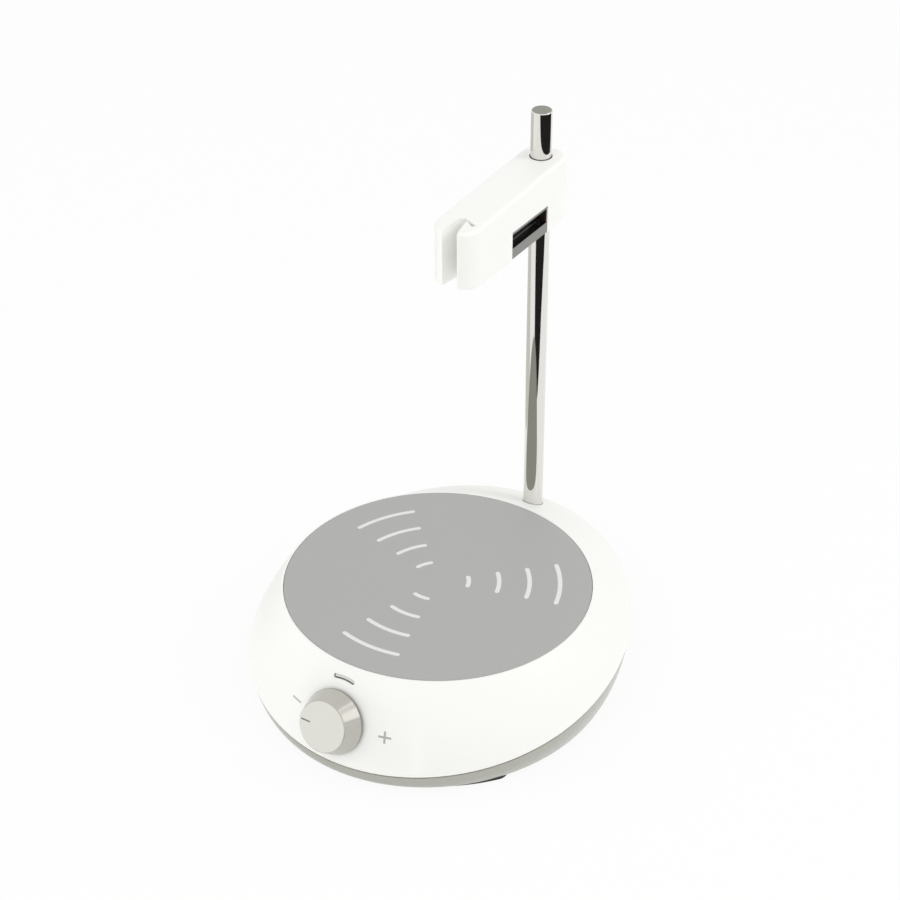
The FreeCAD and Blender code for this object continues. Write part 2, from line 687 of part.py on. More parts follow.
def potentiometer():
    """Body behind the shell with its bush through the wall."""
    half = POT_SIZE / 2
    body = rounded_slab(-half, half, -half, half, POT_CORNER, POT_BACK, -POT_SEAT)
    body = body.fuse(cylinder(POT_BUSH_RADIUS, -POT_SEAT, POT_BUSH_LENGTH)).removeSplitter()
    bore_bottom = POT_BACK + POT_SHAFT_SEAT - SHAFT_CLEARANCE
    return body.cut(cylinder(SHAFT_RADIUS + SHAFT_CLEARANCE, bore_bottom, BEYOND))


def pot_nut():
    """Hexagon nut that holds the potentiometer to the shell."""
    radius = NUT_ACROSS_FLATS / 2 / math.cos(math.radians(30))
    corners = [polar(radius, 60 * i) for i in range(6)]
    nut = prism([(corner.x, corner.y) for corner in corners], -NUT_SPOT_DEPTH, NUT_HEIGHT - NUT_SPOT_DEPTH)
    return nut.cut(cylinder(POT_BUSH_RADIUS, -WALL, WALL))


def front_board():
    """Circuit board behind the potentiometer, with sloping upper corners."""
    half = FRONT_BOARD_WIDTH / 2
    bottom = POT_BACK - BOARD_THICKNESS
    board = rounded_slab(-half, half, -FRONT_BOARD_BOTTOM, FRONT_BOARD_TOP, BOARD_CORNER, bottom, POT_BACK)
    out = half + PAST
    above = FRONT_BOARD_TOP + PAST
    for side in (-1, 1):
        corner = [(side * out, above), (side * (half - FRONT_BOARD_SLOPE), above),
                  (side * out, FRONT_BOARD_TOP - FRONT_BOARD_SLOPE)]
        board = board.cut(prism(corner, bottom - PAST, POT_BACK + PAST))
    for x in board_screw_places():
        board = board.cut(cylinder(BOARD_SCREW_RADIUS + SCREW_CLEARANCE, bottom - PAST, POT_BACK + PAST, x))
    return board


def front_board_screws():
    """Two screws from behind the front board into the shell's posts."""
    head_bottom = POT_BACK - BOARD_THICKNESS - SCREW_HEAD_HEIGHT
    return [screw(x, 0, head_bottom, 1, BOARD_SCREW_LENGTH, BOARD_SCREW_RADIUS, BOARD_SCREW_HEAD)
            for x in board_screw_places()]


def led():
    """Light behind the indicator's lens: flange, barrel and domed end."""
    shoulder = POT_BACK + LED_HEIGHT - LED_RADIUS
    barrel = cylinder(LED_RADIUS, POT_BACK, shoulder, 0, LED_OFFSET)
    dome = Part.makeSphere(LED_RADIUS, Vector(0, LED_OFFSET, shoulder))
    flange = cylinder(LED_RADIUS + LED_FLANGE, POT_BACK, POT_BACK + LED_FLANGE_HEIGHT, 0, LED_OFFSET)
    return barrel.fuse(dome).fuse(flange).removeSplitter()


def indicator_lens():
    """Lens that follows the shell's curve, set a little below its surface."""
    sunk = HOUSING_FORM.copy()
    sunk.translate(PANEL.Rotation.multVec(Vector(0, 0, -LENS_RECESS)))
    return on_panel(lens_bar(0.0, -3 * WALL, WALL)).common(sunk).cut(HOUSING_INSIDE)


def rod_socket():
    """Post that the rod stands in, screwed to the pan's floor, with a boss for its grub screw."""
    post = cylinder(SOCKET_RADIUS, PAN_FLOOR, SOCKET_TOP, 0, ROD_Y)
    front = Vector(0, ROD_Y - SOCKET_RADIUS - GRUB_BOSS_LENGTH, GRUB_HEIGHT)
    boss = Part.makeCylinder(GRUB_BOSS_RADIUS, SOCKET_RADIUS + GRUB_BOSS_LENGTH, front, Vector(0, 1, 0))
    post = post.fuse(boss)
    post = post.cut(cylinder(ROD_RADIUS + SOCKET_CLEARANCE, ROD_BOTTOM, SOCKET_TOP + PAST, 0, ROD_Y))
    hole = SOCKET_SCREW_RADIUS + SCREW_CLEARANCE
    post = post.cut(cylinder(hole, PAN_FLOOR - PAST, SOCKET_SCREW_TOP + PAST, 0, ROD_Y))
    return post.cut(grub_screw(SCREW_CLEARANCE))


def grub_screw(margin=0.0):
    """Grub screw through the socket's front boss, up to the rod."""
    length = GRUB_BOSS_LENGTH + SOCKET_RADIUS - ROD_RADIUS + margin
    start = Vector(0, ROD_Y - ROD_RADIUS - length, GRUB_HEIGHT)
    return Part.makeCylinder(GRUB_RADIUS + margin, length, start, Vector(0, 1, 0)).cut(support_rod())


def socket_screw():
    """Screw from below that holds the socket to the pan."""
    head_bottom = PAN_BOTTOM + SOCKET_SCREW_SUNK - SCREW_HEAD_HEIGHT
    length = SOCKET_SCREW_TOP - head_bottom - SCREW_HEAD_HEIGHT
    return screw(0, ROD_Y, head_bottom, 1, length, SOCKET_SCREW_RADIUS, SOCKET_SCREW_HEAD)


def support_rod():
    """Polished rod with a small chamfer at its top."""
    top = ROD_BOTTOM + ROD_LENGTH
    rod = turned([(0, ROD_BOTTOM), (ROD_RADIUS, ROD_BOTTOM), (ROD_RADIUS, top - ROD_CHAMFER),
                  (ROD_RADIUS - ROD_CHAMFER, top), (0, top)])
    rod.translate(Vector(0, ROD_Y, 0))
    return rod


def motor_can():
    """Drawn motor housing with a seat for the upper bearing."""
    seat = BEARING_RADIUS + BEARING_SEAT_WALL
    roof = MOTOR_TOP - MOTOR_WALL
    can = cylinder(MOTOR_RADIUS, MOTOR_BOTTOM, MOTOR_TOP)
    can = can.cut(cylinder(MOTOR_RADIUS - MOTOR_WALL, MOTOR_BOTTOM - PAST, roof))
    can = can.fuse(cylinder(seat, roof - BEARING_HEIGHT, MOTOR_TOP))
    can = can.cut(cylinder(BEARING_RADIUS, MOTOR_BOTTOM, roof))
    can = can.cut(cylinder(DRIVE_SHAFT_RADIUS + DRIVE_SHAFT_HOLE_GAP, MOTOR_BOTTOM, MOTOR_TOP + PAST))
    for x, y in motor_screw_places():
        can = can.cut(cylinder(SCREW_RADIUS, roof - PAST, MOTOR_TOP + PAST, x, y))
    return can.removeSplitter()


def motor_cap():
    """Bottom cap of the motor with a seat for the lower bearing."""
    top = MOTOR_BOTTOM + MOTOR_CAP
    cap = cylinder(MOTOR_RADIUS - MOTOR_WALL, MOTOR_BOTTOM, top)
    seat = tube(BEARING_RADIUS + BEARING_SEAT_WALL, BEARING_RADIUS, top, top + BEARING_HEIGHT)
    return cap.fuse(seat).removeSplitter()


def bearing(bottom):
    """Plain ring that stands for one small ball bearing."""
    return tube(BEARING_RADIUS, DRIVE_SHAFT_RADIUS + SHAFT_CLEARANCE, bottom, bottom + BEARING_HEIGHT)


def stator():
    """Laminated ring with winding slots."""
    outer = MOTOR_RADIUS - MOTOR_WALL
    ring = tube(outer, STATOR_BORE, STATOR_BOTTOM, STATOR_TOP)
    for i in range(STATOR_SLOTS):
        place = polar((outer + STATOR_BORE) / 2, 360 / STATOR_SLOTS * i)
        slot = cylinder(STATOR_SLOT_RADIUS, STATOR_BOTTOM - PAST, STATOR_TOP + PAST, place.x, place.y)
        ring = ring.cut(slot)
    return ring


def rotor_core():
    """Rotor inside the stator, pressed on the drive shaft."""
    return tube(STATOR_BORE - ROTOR_GAP, DRIVE_SHAFT_RADIUS, STATOR_BOTTOM, STATOR_TOP)


def drive_shaft():
    """Shaft from the lower bearing to the magnet carrier."""
    return cylinder(DRIVE_SHAFT_RADIUS, MOTOR_BOTTOM + MOTOR_CAP + ROTOR_GAP, DRIVE_SHAFT_TOP)


def motor_bracket():
    """Flat bracket on four posts that the motor hangs from."""
    plate = rounded_slab(-BRACKET_LENGTH / 2, BRACKET_LENGTH / 2, -BRACKET_WIDTH / 2, BRACKET_WIDTH / 2,
                         BRACKET_CORNER, MOTOR_TOP, BRACKET_TOP)
    plate = plate.cut(cylinder(BEARING_RADIUS + BEARING_SEAT_WALL, MOTOR_TOP - PAST, BRACKET_TOP + PAST))
    for x, y in bracket_places() + motor_screw_places():
        hole = cylinder(SCREW_RADIUS + SCREW_CLEARANCE, MOTOR_TOP - PAST, BRACKET_TOP + PAST, x, y)
        plate = plate.cut(hole)
    return plate


def bracket_screws():
    """Four screws from the bracket into the pan's posts."""
    return [screw(x, y, BRACKET_TOP, -1, BRACKET_SCREW_LENGTH) for x, y in bracket_places()]


def motor_screws():
    """Two screws from the bracket into the motor's roof."""
    return [screw(x, y, BRACKET_TOP, -1, BRACKET_THICKNESS + MOTOR_WALL) for x, y in motor_screw_places()]


def magnet_places():
    """Centres of the two drive magnets."""
    return [(-MAGNET_SPACING / 2, 0), (MAGNET_SPACING / 2, 0)]


def magnet_carrier():
    """Bar on the drive shaft with a rimmed cup for each magnet."""
    cup = MAGNET_RADIUS + MAGNET_CLEARANCE
    carrier = block(-MAGNET_SPACING / 2, MAGNET_SPACING / 2, -CARRIER_BAR_WIDTH / 2, CARRIER_BAR_WIDTH / 2,
                    CARRIER_BOTTOM, CARRIER_TOP)
    rim_top = CARRIER_TOP + MAGNET_RIM_HEIGHT
    for x, y in magnet_places():
        carrier = carrier.fuse(cylinder(cup + MAGNET_RIM, CARRIER_BOTTOM, rim_top, x, y))
    carrier = carrier.fuse(cylinder(CARRIER_HUB_RADIUS, CARRIER_BOTTOM - CARRIER_HUB_DROP, DRIVE_SHAFT_TOP))
    for x, y in magnet_places():
        carrier = carrier.cut(cylinder(cup, CARRIER_TOP, DRIVE_SHAFT_TOP + PAST, x, y))
    return carrier.cut(cylinder(DRIVE_SHAFT_RADIUS, MOTOR_BOTTOM, DRIVE_SHAFT_TOP + PAST)).removeSplitter()


def drive_magnets():
    """Two disc magnets that drag the stirring bar round."""
    magnet_top = CARRIER_TOP + MAGNET_HEIGHT
    return [cylinder(MAGNET_RADIUS, CARRIER_TOP, magnet_top, x, y) for x, y in magnet_places()]


def driver_board():
    """Motor driver board on three posts at the rear."""
    half = DRIVER_WIDTH / 2
    board = rounded_slab(DRIVER_X - half, DRIVER_X + half, DRIVER_FRONT, DRIVER_REAR, BOARD_CORNER,
                         DRIVER_TOP - BOARD_THICKNESS, DRIVER_TOP)
    for x, y in driver_places():
        board = board.cut(cylinder(BOARD_SCREW_RADIUS + SCREW_CLEARANCE, PAN_FLOOR, DRIVER_TOP + PAST, x, y))
    return board


def driver_parts():
    """Driver chip and reservoir capacitor on the driver board."""
    chip_front = DRIVER_FRONT + CHIP_PLACE
    chip = block(DRIVER_X - CHIP_LENGTH / 2, DRIVER_X + CHIP_LENGTH / 2, chip_front, chip_front + CHIP_WIDTH,
                 DRIVER_TOP, DRIVER_TOP + CHIP_HEIGHT)
    capacitor = cylinder(CAPACITOR_RADIUS, DRIVER_TOP, DRIVER_TOP + CAPACITOR_HEIGHT,
                         DRIVER_X + CAPACITOR_OFFSET, DRIVER_FRONT + CAPACITOR_PLACE)
    return [chip, capacitor]


def driver_screws():
    """Three screws that hold the driver board."""
    return [screw(x, y, DRIVER_TOP, -1, BOARD_SCREW_LENGTH, BOARD_SCREW_RADIUS, BOARD_SCREW_HEAD)
            for x, y in driver_places()]


def power_inlet():
    """Barrel jack: body on the driver board, collar through the pocket's wall, centre pin."""
    half = INLET_BODY_WIDTH / 2
    inner = INLET_FACE - WALL
    along = Vector(0, 1, 0)
    body = block(INLET_X - half, INLET_X + half, INLET_BODY_FRONT, inner,
                 INLET_Z - INLET_BODY_HEIGHT / 2, INLET_Z + INLET_BODY_HEIGHT / 2)
    collar = Part.makeCylinder(INLET_COLLAR_RADIUS, WALL, Vector(INLET_X, inner, INLET_Z), along)
    root = Vector(INLET_X, INLET_FACE - INLET_BORE_DEPTH, INLET_Z)
    bore = Part.makeCylinder(INLET_BORE_RADIUS, INLET_BORE_DEPTH + PAST, root, along)
    pin = Part.makeCylinder(INLET_PIN_RADIUS, INLET_PIN_LENGTH, root, along)
    return body.fuse(collar).cut(bore).fuse(pin).removeSplitter()


def arm_slot():
    """Open-ended slot for a probe, narrowing to a round end."""
    end = SLOT_END / 2
    mouth = SLOT_MOUTH / 2
    y_end = -ARM_REACH + SLOT_DEPTH - end
    y_out = -ARM_REACH - PAST
    z = ARM_BOTTOM - PAST
    bend = Part.Arc(Vector(end, y_end, z), Vector(0, y_end + end, z), Vector(-end, y_end, z)).toShape()
    sides = Part.makePolygon([Vector(-end, y_end, z), Vector(-mouth, y_out, z),
                              Vector(mouth, y_out, z), Vector(end, y_end, z)])
    return Part.Face(Part.Wire([bend] + sides.Edges)).extrude(UP * (ARM_HEIGHT + 2 * PAST))


def flex_relief():
    """Wedge-shaped cut from the slot's end into the root of the right tine, so that the tine can bend."""
    start = Vector(0, -ARM_REACH + SLOT_DEPTH, 0)
    end = start + polar(RELIEF_LENGTH, -RELIEF_TURN)
    across = polar(0.5, 90 - RELIEF_TURN)
    corners = [start + across * RELIEF_START_WIDTH, end + across * RELIEF_END_WIDTH,
               end - across * RELIEF_END_WIDTH, start - across * RELIEF_START_WIDTH]
    return prism([(corner.x, corner.y) for corner in corners], ARM_BOTTOM - PAST, ARM_TOP + PAST)


def arm_cavity(inset, bottom, top):
    """Hollow of the arm, or a plate that fits in it."""
    half = ARM_CAVITY_HALF - inset
    return rounded_slab(-half, half, -ARM_CAVITY_REACH + inset, ARM_REAR - ARM_WALL - inset,
                        ARM_CORNER - ARM_WALL - inset, bottom, top)


def probe_arm():
    """Moulded holder: hollow body round the rod, side window for the release bar, forked tip for a probe."""
    outer = rounded_slab(-ARM_HALF_WIDTH, ARM_HALF_WIDTH, -ARM_REACH, ARM_REAR, ARM_CORNER,
                         ARM_BOTTOM - ARM_WALL, ARM_TOP)
    top_edges = [edge for edge in outer.Edges if edge.BoundBox.ZMin > ARM_TOP - PICK]
    outer = outer.makeFillet(ARM_TOP_ROUND, top_edges).common(arm_layer(0.0, ARM_HEIGHT + BEYOND))
    arm = outer.cut(arm_cavity(0.0, ARM_BOTTOM - BEYOND, ARM_ROOF))
    arm = arm.fuse(cylinder(BUSH_BOSS_RADIUS, ARM_ROOF - BUSH_LENGTH, ARM_ROOF))
    for x, y in cover_places():
        post = cylinder(COVER_POST_RADIUS, underside(y) - PAST, ARM_ROOF, x, y)
        arm = arm.fuse(post.common(arm_layer(COVER_THICKNESS, ARM_HEIGHT + BEYOND)))
    arm = arm.cut(cylinder(BUSH_SEAT_RADIUS, ARM_BOTTOM - ARM_WALL, ARM_ROOF))
    arm = arm.cut(cylinder(ROD_HOLE_RADIUS, ARM_BOTTOM - ARM_WALL, ARM_TOP + PAST))
    arm = arm.cut(arm_slot()).cut(flex_relief())
    arm = arm.cut(arm_block(ARM_CAVITY_HALF - PAST, ARM_HALF_WIDTH + PAST, -WINDOW_END, -WINDOW_START,
                            -PAST, WINDOW_HEIGHT))
    hole = COVER_SCREW_RADIUS + SCREW_CLEARANCE
    for x, y in cover_places():
        arm = arm.cut(cylinder(hole, underside(y), underside(y) + COVER_SCREW_LENGTH + PAST, x, y))
    return arm.removeSplitter()


def arm_cover():
    """Plate that closes the arm from below, carries the lower bush and leaves room for the release bar."""
    cover = arm_cavity(COVER_CLEARANCE, ARM_BOTTOM - ARM_WALL, ARM_TOP)
    cover = cover.common(arm_layer(0.0, COVER_THICKNESS))
    boss = cylinder(BUSH_BOSS_RADIUS, ARM_BOTTOM - ARM_WALL, LOWER_BUSH_TOP)
    cover = cover.fuse(boss.common(arm_layer(0.0, BEYOND)))
    cover = cover.cut(cylinder(BUSH_SEAT_RADIUS, LOWER_BUSH_BOTTOM, LOWER_BUSH_TOP + PAST))
    cover = cover.cut(cylinder(ROD_HOLE_RADIUS, ARM_BOTTOM - ARM_WALL, LOWER_BUSH_TOP))
    edge = ARM_HALF_WIDTH - BAR_FLUSH - BAR_LIP - BAR_TRAVEL - BAR_CLEARANCE
    cover = cover.cut(arm_block(edge, ARM_HALF_WIDTH, -WINDOW_END, -WINDOW_START,
                                -PAST, COVER_THICKNESS + PAST))
    hole = COVER_SCREW_RADIUS + SCREW_CLEARANCE
    head = COVER_HEAD_RADIUS + HEAD_CLEARANCE
    for x, y in cover_places():
        low = underside(y)
        cover = cover.cut(cylinder(hole, low - PAST, low + COVER_THICKNESS + PAST, x, y))
        cover = cover.cut(cylinder(head, low - PAST, low + COVER_HEAD_HEIGHT, x, y))
    return cover.removeSplitter()


def cover_screws():
    """Two screws that hold the arm's cover, heads sunk level with it."""
    screws = []
    for x, y in cover_places():
        low = underside(y)
        head = cylinder(COVER_HEAD_RADIUS, low, low + COVER_HEAD_HEIGHT, x, y)
        shank = cylinder(COVER_SCREW_RADIUS, low, low + COVER_SCREW_LENGTH, x, y)
        screws.append(head.fuse(shank).removeSplitter())
    return screws


def rod_bush(bottom, length):
    """Sleeve between the rod and the arm."""
    return tube(BUSH_RADIUS, ROD_RADIUS + BUSH_ROD_CLEARANCE, bottom, bottom + length)


def release_bar():
    """Push bar: flush lower band, recess and thin rim in the window, and a tail with a hole round the rod."""
    floor = COVER_THICKNESS + BAR_CLEARANCE
    crown = WINDOW_HEIGHT - BAR_CLEARANCE
    face = ARM_HALF_WIDTH - BAR_FLUSH
    start = -WINDOW_END + BAR_CLEARANCE
    end = -WINDOW_START - BAR_CLEARANCE
    back = face - BAR_LEDGE
    bar = arm_block(BAR_BACK, face, start, end, floor, BAR_BAND)
    bar = bar.fuse(arm_block(face - BAR_LIP, face, start, end, BAR_CLEARANCE, BAR_BAND))
    bar = bar.fuse(arm_block(BAR_BACK, back, start, end - BAR_NECK, floor, WINDOW_HEIGHT + BAR_BACK_RISE))
    bar = bar.fuse(arm_block(BAR_BACK, face, start, end, crown - BAR_RIM, crown))
    low = LOWER_BUSH_TOP + BAR_CLEARANCE
    high = low + BAR_TAIL_THICKNESS
    bar = bar.fuse(block(BAR_BACK, back, end - BAR_NECK - PAST, end, low, high))
    grip = ROD_RADIUS + BAR_GRIP_GAP
    outer = grip + BAR_TAIL_WALL
    tail = rounded_slab(-outer, outer + BAR_TRAVEL, end - BAR_TAIL_OVERLAP, outer, BAR_TAIL_CORNER, low, high)
    bar = bar.fuse(tail)
    hole = rounded_slab(-grip, grip + BAR_TRAVEL, -grip, grip, grip - PICK, low - PAST, high + PAST)
    return bar.cut(hole).removeSplitter()


def arc_from(start, tangent, end):
    """Start, middle and end of the arc that leaves a point along a tangent and ends at another point."""
    chord = end - start
    across = chord - tangent * chord.dot(tangent)
    radius = chord.dot(chord) / (2 * across.Length)
    centre = start + across.normalize() * radius
    middle = centre + ((start + end) * 0.5 - centre).normalize() * radius
    return [start, middle, end]


def biarc(start, start_tangent, end, end_tangent):
    """Two arcs that meet smoothly between two points with given tangents."""
    chord = end - start
    lean = chord.dot(start_tangent + end_tangent)
    spread = 2 * (1 - start_tangent.dot(end_tangent))
    reach = (math.sqrt(lean * lean + spread * chord.dot(chord)) - lean) / spread
    meeting = (start + end + (start_tangent - end_tangent) * reach) * 0.5
    opening = arc_from(start, start_tangent, meeting)
    closing = arc_from(end, end_tangent * -1, meeting)
    return [Part.Arc(*opening), Part.Arc(*reversed(closing))]


def wire_tube(arcs, radius):
    """Wire along a smooth row of arcs, each stretch turned about its arc's own axis."""
    edges = [arc.toShape() for arc in arcs]
    start = edges[0].valueAt(edges[0].FirstParameter)
    circle = Part.makeCircle(radius, start, edges[0].tangentAt(edges[0].FirstParameter))
    ring = Part.makePolygon(circle.discretize(SPRING_WIRE_SIDES + 1))
    faces = [Part.Face(ring)]
    for edge in edges:
        angle = math.degrees(edge.LastParameter - edge.FirstParameter)
        faces += ring.revolve(edge.Curve.Center, edge.Curve.Axis, angle).Faces
        ring = ring.copy()
        ring.rotate(edge.Curve.Center, edge.Curve.Axis, angle)
    skin = Part.makeShell(faces + [Part.Face(ring)])
    skin.sewShape()
    return Part.makeSolid(skin)


def release_spring():
    """Coil spring between the arm's left wall and the release bar."""
    left = -ARM_CAVITY_HALF + SPRING_GAP + SPRING_WIRE
    right = BAR_BACK - SPRING_GAP - SPRING_WIRE
    pitch = (right - left) / SPRING_TURNS
    print("release_spring: gap between turns", round(pitch - 2 * SPRING_WIRE, 3), "mm")
    arcs = []
    for half in range(2 * SPRING_TURNS):
        points = []
        for turn in (half / 2, (half + 1) / 2):
            angle = 2 * math.pi * turn
            place = Vector(SPRING_RADIUS * math.cos(angle), SPRING_RADIUS * math.sin(angle), pitch * turn)
            along = Vector(-place.y, place.x, pitch / 2 / math.pi)
            points += [place, along.normalize()]
        arcs += biarc(*points)
    coil = wire_tube(arcs, SPRING_WIRE)
    coil.rotate(Vector(), Vector(0, 1, 0), 90)
    height = underside(-SPRING_PLACE) + COVER_THICKNESS + SPRING_LIFT + SPRING_WIRE + SPRING_RADIUS
    coil.translate(Vector(left, -SPRING_PLACE, height))
    return coil


def save_base():
    """Write the nodes of the housing, the plate, the rod's foot and the electronics."""
    save("upper_housing", upper_housing())
    save("base_pan", base_pan())
    for i, foot in enumerate(foot_bars(0.0, PAN_BOTTOM + FOOT_RECESS), 1):
        save("foot_" + str(i), foot)
    save("housing_screws", Part.makeCompound(housing_screws()))
    save("top_plate", top_plate())
    save("plate_arcs", Part.makeCompound(plate_arcs()))
    save("plate_gasket", plate_gasket())
    save("support_rod", support_rod())
    save("rod_socket", rod_socket())
    save("rod_socket_screw", socket_screw())
    save("rod_grub_screw", grub_screw())
    save("driver_board", driver_board())
    save("driver_parts", Part.makeCompound(driver_parts()))
    save("driver_screws", Part.makeCompound(driver_screws()))
    save("power_inlet", power_inlet())


def save_panel():
    """Write the nodes on the knob's axis."""
    save("speed_knob", on_panel(speed_knob()))
    save("knob_pointer", on_panel(knob_pointer()))
    save("pot_shaft", on_panel(pot_shaft()))
    save("potentiometer", on_panel(potentiometer()))
    save("pot_nut", on_panel(pot_nut()))
    save("front_board", on_panel(front_board()))
    save("front_board_screws", on_panel(Part.makeCompound(front_board_screws())))
    save("indicator_led", on_panel(led()))
    save("indicator_lens", indicator_lens())


def save_drive():
    """Write the nodes of the stirring drive."""
    save("motor_can", motor_can())
    save("motor_cap", motor_cap())
    save("motor_stator", stator())
    save("bearing_lower", bearing(MOTOR_BOTTOM + MOTOR_CAP))
    save("bearing_upper", bearing(MOTOR_TOP - MOTOR_WALL - BEARING_HEIGHT))
    save("motor_bracket", motor_bracket())
    save("bracket_screws", Part.makeCompound(bracket_screws()))
    save("motor_screws", Part.makeCompound(motor_screws()))
    save("drive_shaft", drive_shaft())
    save("rotor_core", rotor_core())
    save("magnet_carrier", magnet_carrier())
    save("drive_magnets", Part.makeCompound(drive_magnets()))


def save_holder():
    """Write the nodes of the probe holder."""
    save("probe_arm", on_arm(probe_arm()))
    save("arm_cover", on_arm(arm_cover()))
    save("cover_screws", on_arm(Part.makeCompound(cover_screws())))
    save("rod_bush_upper", on_arm(rod_bush(ARM_ROOF - BUSH_LENGTH, BUSH_LENGTH)))
    save("rod_bush_lower", on_arm(rod_bush(LOWER_BUSH_BOTTOM, LOWER_BUSH_LENGTH)))
    save("release_bar", on_arm(release_bar()))
    save("release_spring", on_arm(release_spring()))


os.makedirs("parts", exist_ok=True)
save_base()
save_panel()
save_drive()
save_holder()
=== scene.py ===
"""Looks of a magnetic stirrer with a support rod and a probe holder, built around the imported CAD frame."""

import logging
import math
from collections.abc import Callable, Iterator
from contextlib import contextmanager
from dataclasses import dataclass, field
from enum import Enum

import bpy
from mathutils import Matrix, Vector


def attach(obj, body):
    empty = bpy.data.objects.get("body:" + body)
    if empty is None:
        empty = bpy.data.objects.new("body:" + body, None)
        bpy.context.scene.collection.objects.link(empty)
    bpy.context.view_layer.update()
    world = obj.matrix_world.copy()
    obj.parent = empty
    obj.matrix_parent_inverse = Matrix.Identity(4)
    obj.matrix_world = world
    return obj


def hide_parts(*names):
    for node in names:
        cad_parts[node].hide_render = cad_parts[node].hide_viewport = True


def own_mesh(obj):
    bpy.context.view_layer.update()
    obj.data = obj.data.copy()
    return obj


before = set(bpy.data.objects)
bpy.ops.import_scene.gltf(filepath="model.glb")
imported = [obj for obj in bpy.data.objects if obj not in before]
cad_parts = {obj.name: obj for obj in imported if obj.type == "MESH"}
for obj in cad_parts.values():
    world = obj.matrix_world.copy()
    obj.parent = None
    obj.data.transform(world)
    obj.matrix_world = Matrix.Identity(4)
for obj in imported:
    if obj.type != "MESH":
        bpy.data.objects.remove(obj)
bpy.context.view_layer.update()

MM = 0.001
SMOOTH_ANGLE = math.radians(35)
QUARTER_TURN = math.radians(90)
# A face looks a certain way where its normal's share that way is above FACING.
FACING = 0.9
# A point counts as at a place where it is within this share of the size there.
NEAR = 0.1
WHITE = "#FFFFFF"
LOG = logging.getLogger("stirrer")

Pair = tuple[float, float]
Triple = tuple[float, float, float]
# Head radius, head height, shank radius and length under the head, in millimetres.
ScrewSize = tuple[float, float, float, float]


class Grain(Enum):
    """How a surface was made: how fine its bump is along X, Y and Z, as a share of the finest way."""

    MOULDED = (1.0, 1.0, 1.0)
    TURNED = (0.05, 0.05, 1.0)


class Reach(Enum):
    """Where a zone of a surface lies."""

    BEYOND_PLANE = "beyond a plane"
    NEAR_LINE = "within a distance of a line"


class Pick(Enum):
    """What is selected in edit mode."""

    EDGES = "EDGE"
    FACES = "FACE"


def linear(hex_colour: str) -> tuple[float, float, float, float]:
    """Turn an sRGB hex colour to linear, by the curve of the sRGB standard.

    Args:
        hex_colour: Six hex digits after a hash.

    Returns:
        Linear red, green, blue and an alpha of one.
    """
    digits = hex_colour.lstrip("#")
    channels = [int(digits[i:i + 2], 16) / 255 for i in (0, 2, 4)]
    values = [c / 12.92 if c <= 0.04045 else ((c + 0.055) / 1.055) ** 2.4 for c in channels]
    return (*values, 1.0)


def add_node(tree: bpy.types.NodeTree, kind: str, links: dict | None = None, values: dict | None = None,
             **settings: object) -> bpy.types.Node:
    """Add a node with its links, input values and settings.

    Args:
        tree: Node tree that gets the node.
        kind: Blender's node type.
        links: Input name or index to the output socket that feeds it.
        values: Input name or index to its value.
        settings: Node properties.

    Returns:
        The new node.
    """
    node = tree.nodes.new(kind)
    for key, value in settings.items():
        setattr(node, key, value)
    for key, value in (values or {}).items():
        node.inputs[key].default_value = value
    for key, socket in (links or {}).items():
        tree.links.new(socket, node.inputs[key])
    return node


def empty_material(name: str) -> bpy.types.Material:
    """Make a material with no nodes yet.

    Args:
        name: Name of the material.

    Returns:
        The new material.
    """
    material = bpy.data.materials.new(name)
    material.use_nodes = True
    material.node_tree.nodes.clear()
    return material


@dataclass(frozen=True)
class Zone:
    """Part of a surface with a second finish, set off by a plane or by the distance from a line."""

    reach: Reach
    point_mm: Triple
    axis: Triple
    limit_mm: float
    colour: str
    roughness: float
    metallic: float = 0.0

    def mask(self, tree: bpy.types.NodeTree, place: bpy.types.NodeSocket) -> bpy.types.NodeSocket:
        """Add the nodes that tell the zone from the rest.

        Args:
            tree: The material's node tree.
            place: Object coordinates.

        Returns:
            One inside the zone and zero elsewhere.
        """
        origin = [value * MM for value in self.point_mm]
        offset = add_node(tree, "ShaderNodeVectorMath", {0: place}, {1: origin}, operation="SUBTRACT").outputs[0]
        if self.reach is Reach.BEYOND_PLANE:
            along = add_node(tree, "ShaderNodeVectorMath", {0: offset}, {1: self.axis}, operation="DOT_PRODUCT")
            return add_node(tree, "ShaderNodeMath", {0: along.outputs["Value"]}, {1: self.limit_mm * MM},
                            operation="GREATER_THAN").outputs[0]
        across = add_node(tree, "ShaderNodeVectorMath", {0: offset}, {1: self.axis}, operation="CROSS_PRODUCT")
        away = add_node(tree, "ShaderNodeVectorMath", {0: across.outputs[0]}, operation="LENGTH")
        return add_node(tree, "ShaderNodeMath", {0: away.outputs["Value"]}, {1: self.limit_mm * MM},
                        operation="LESS_THAN").outputs[0]


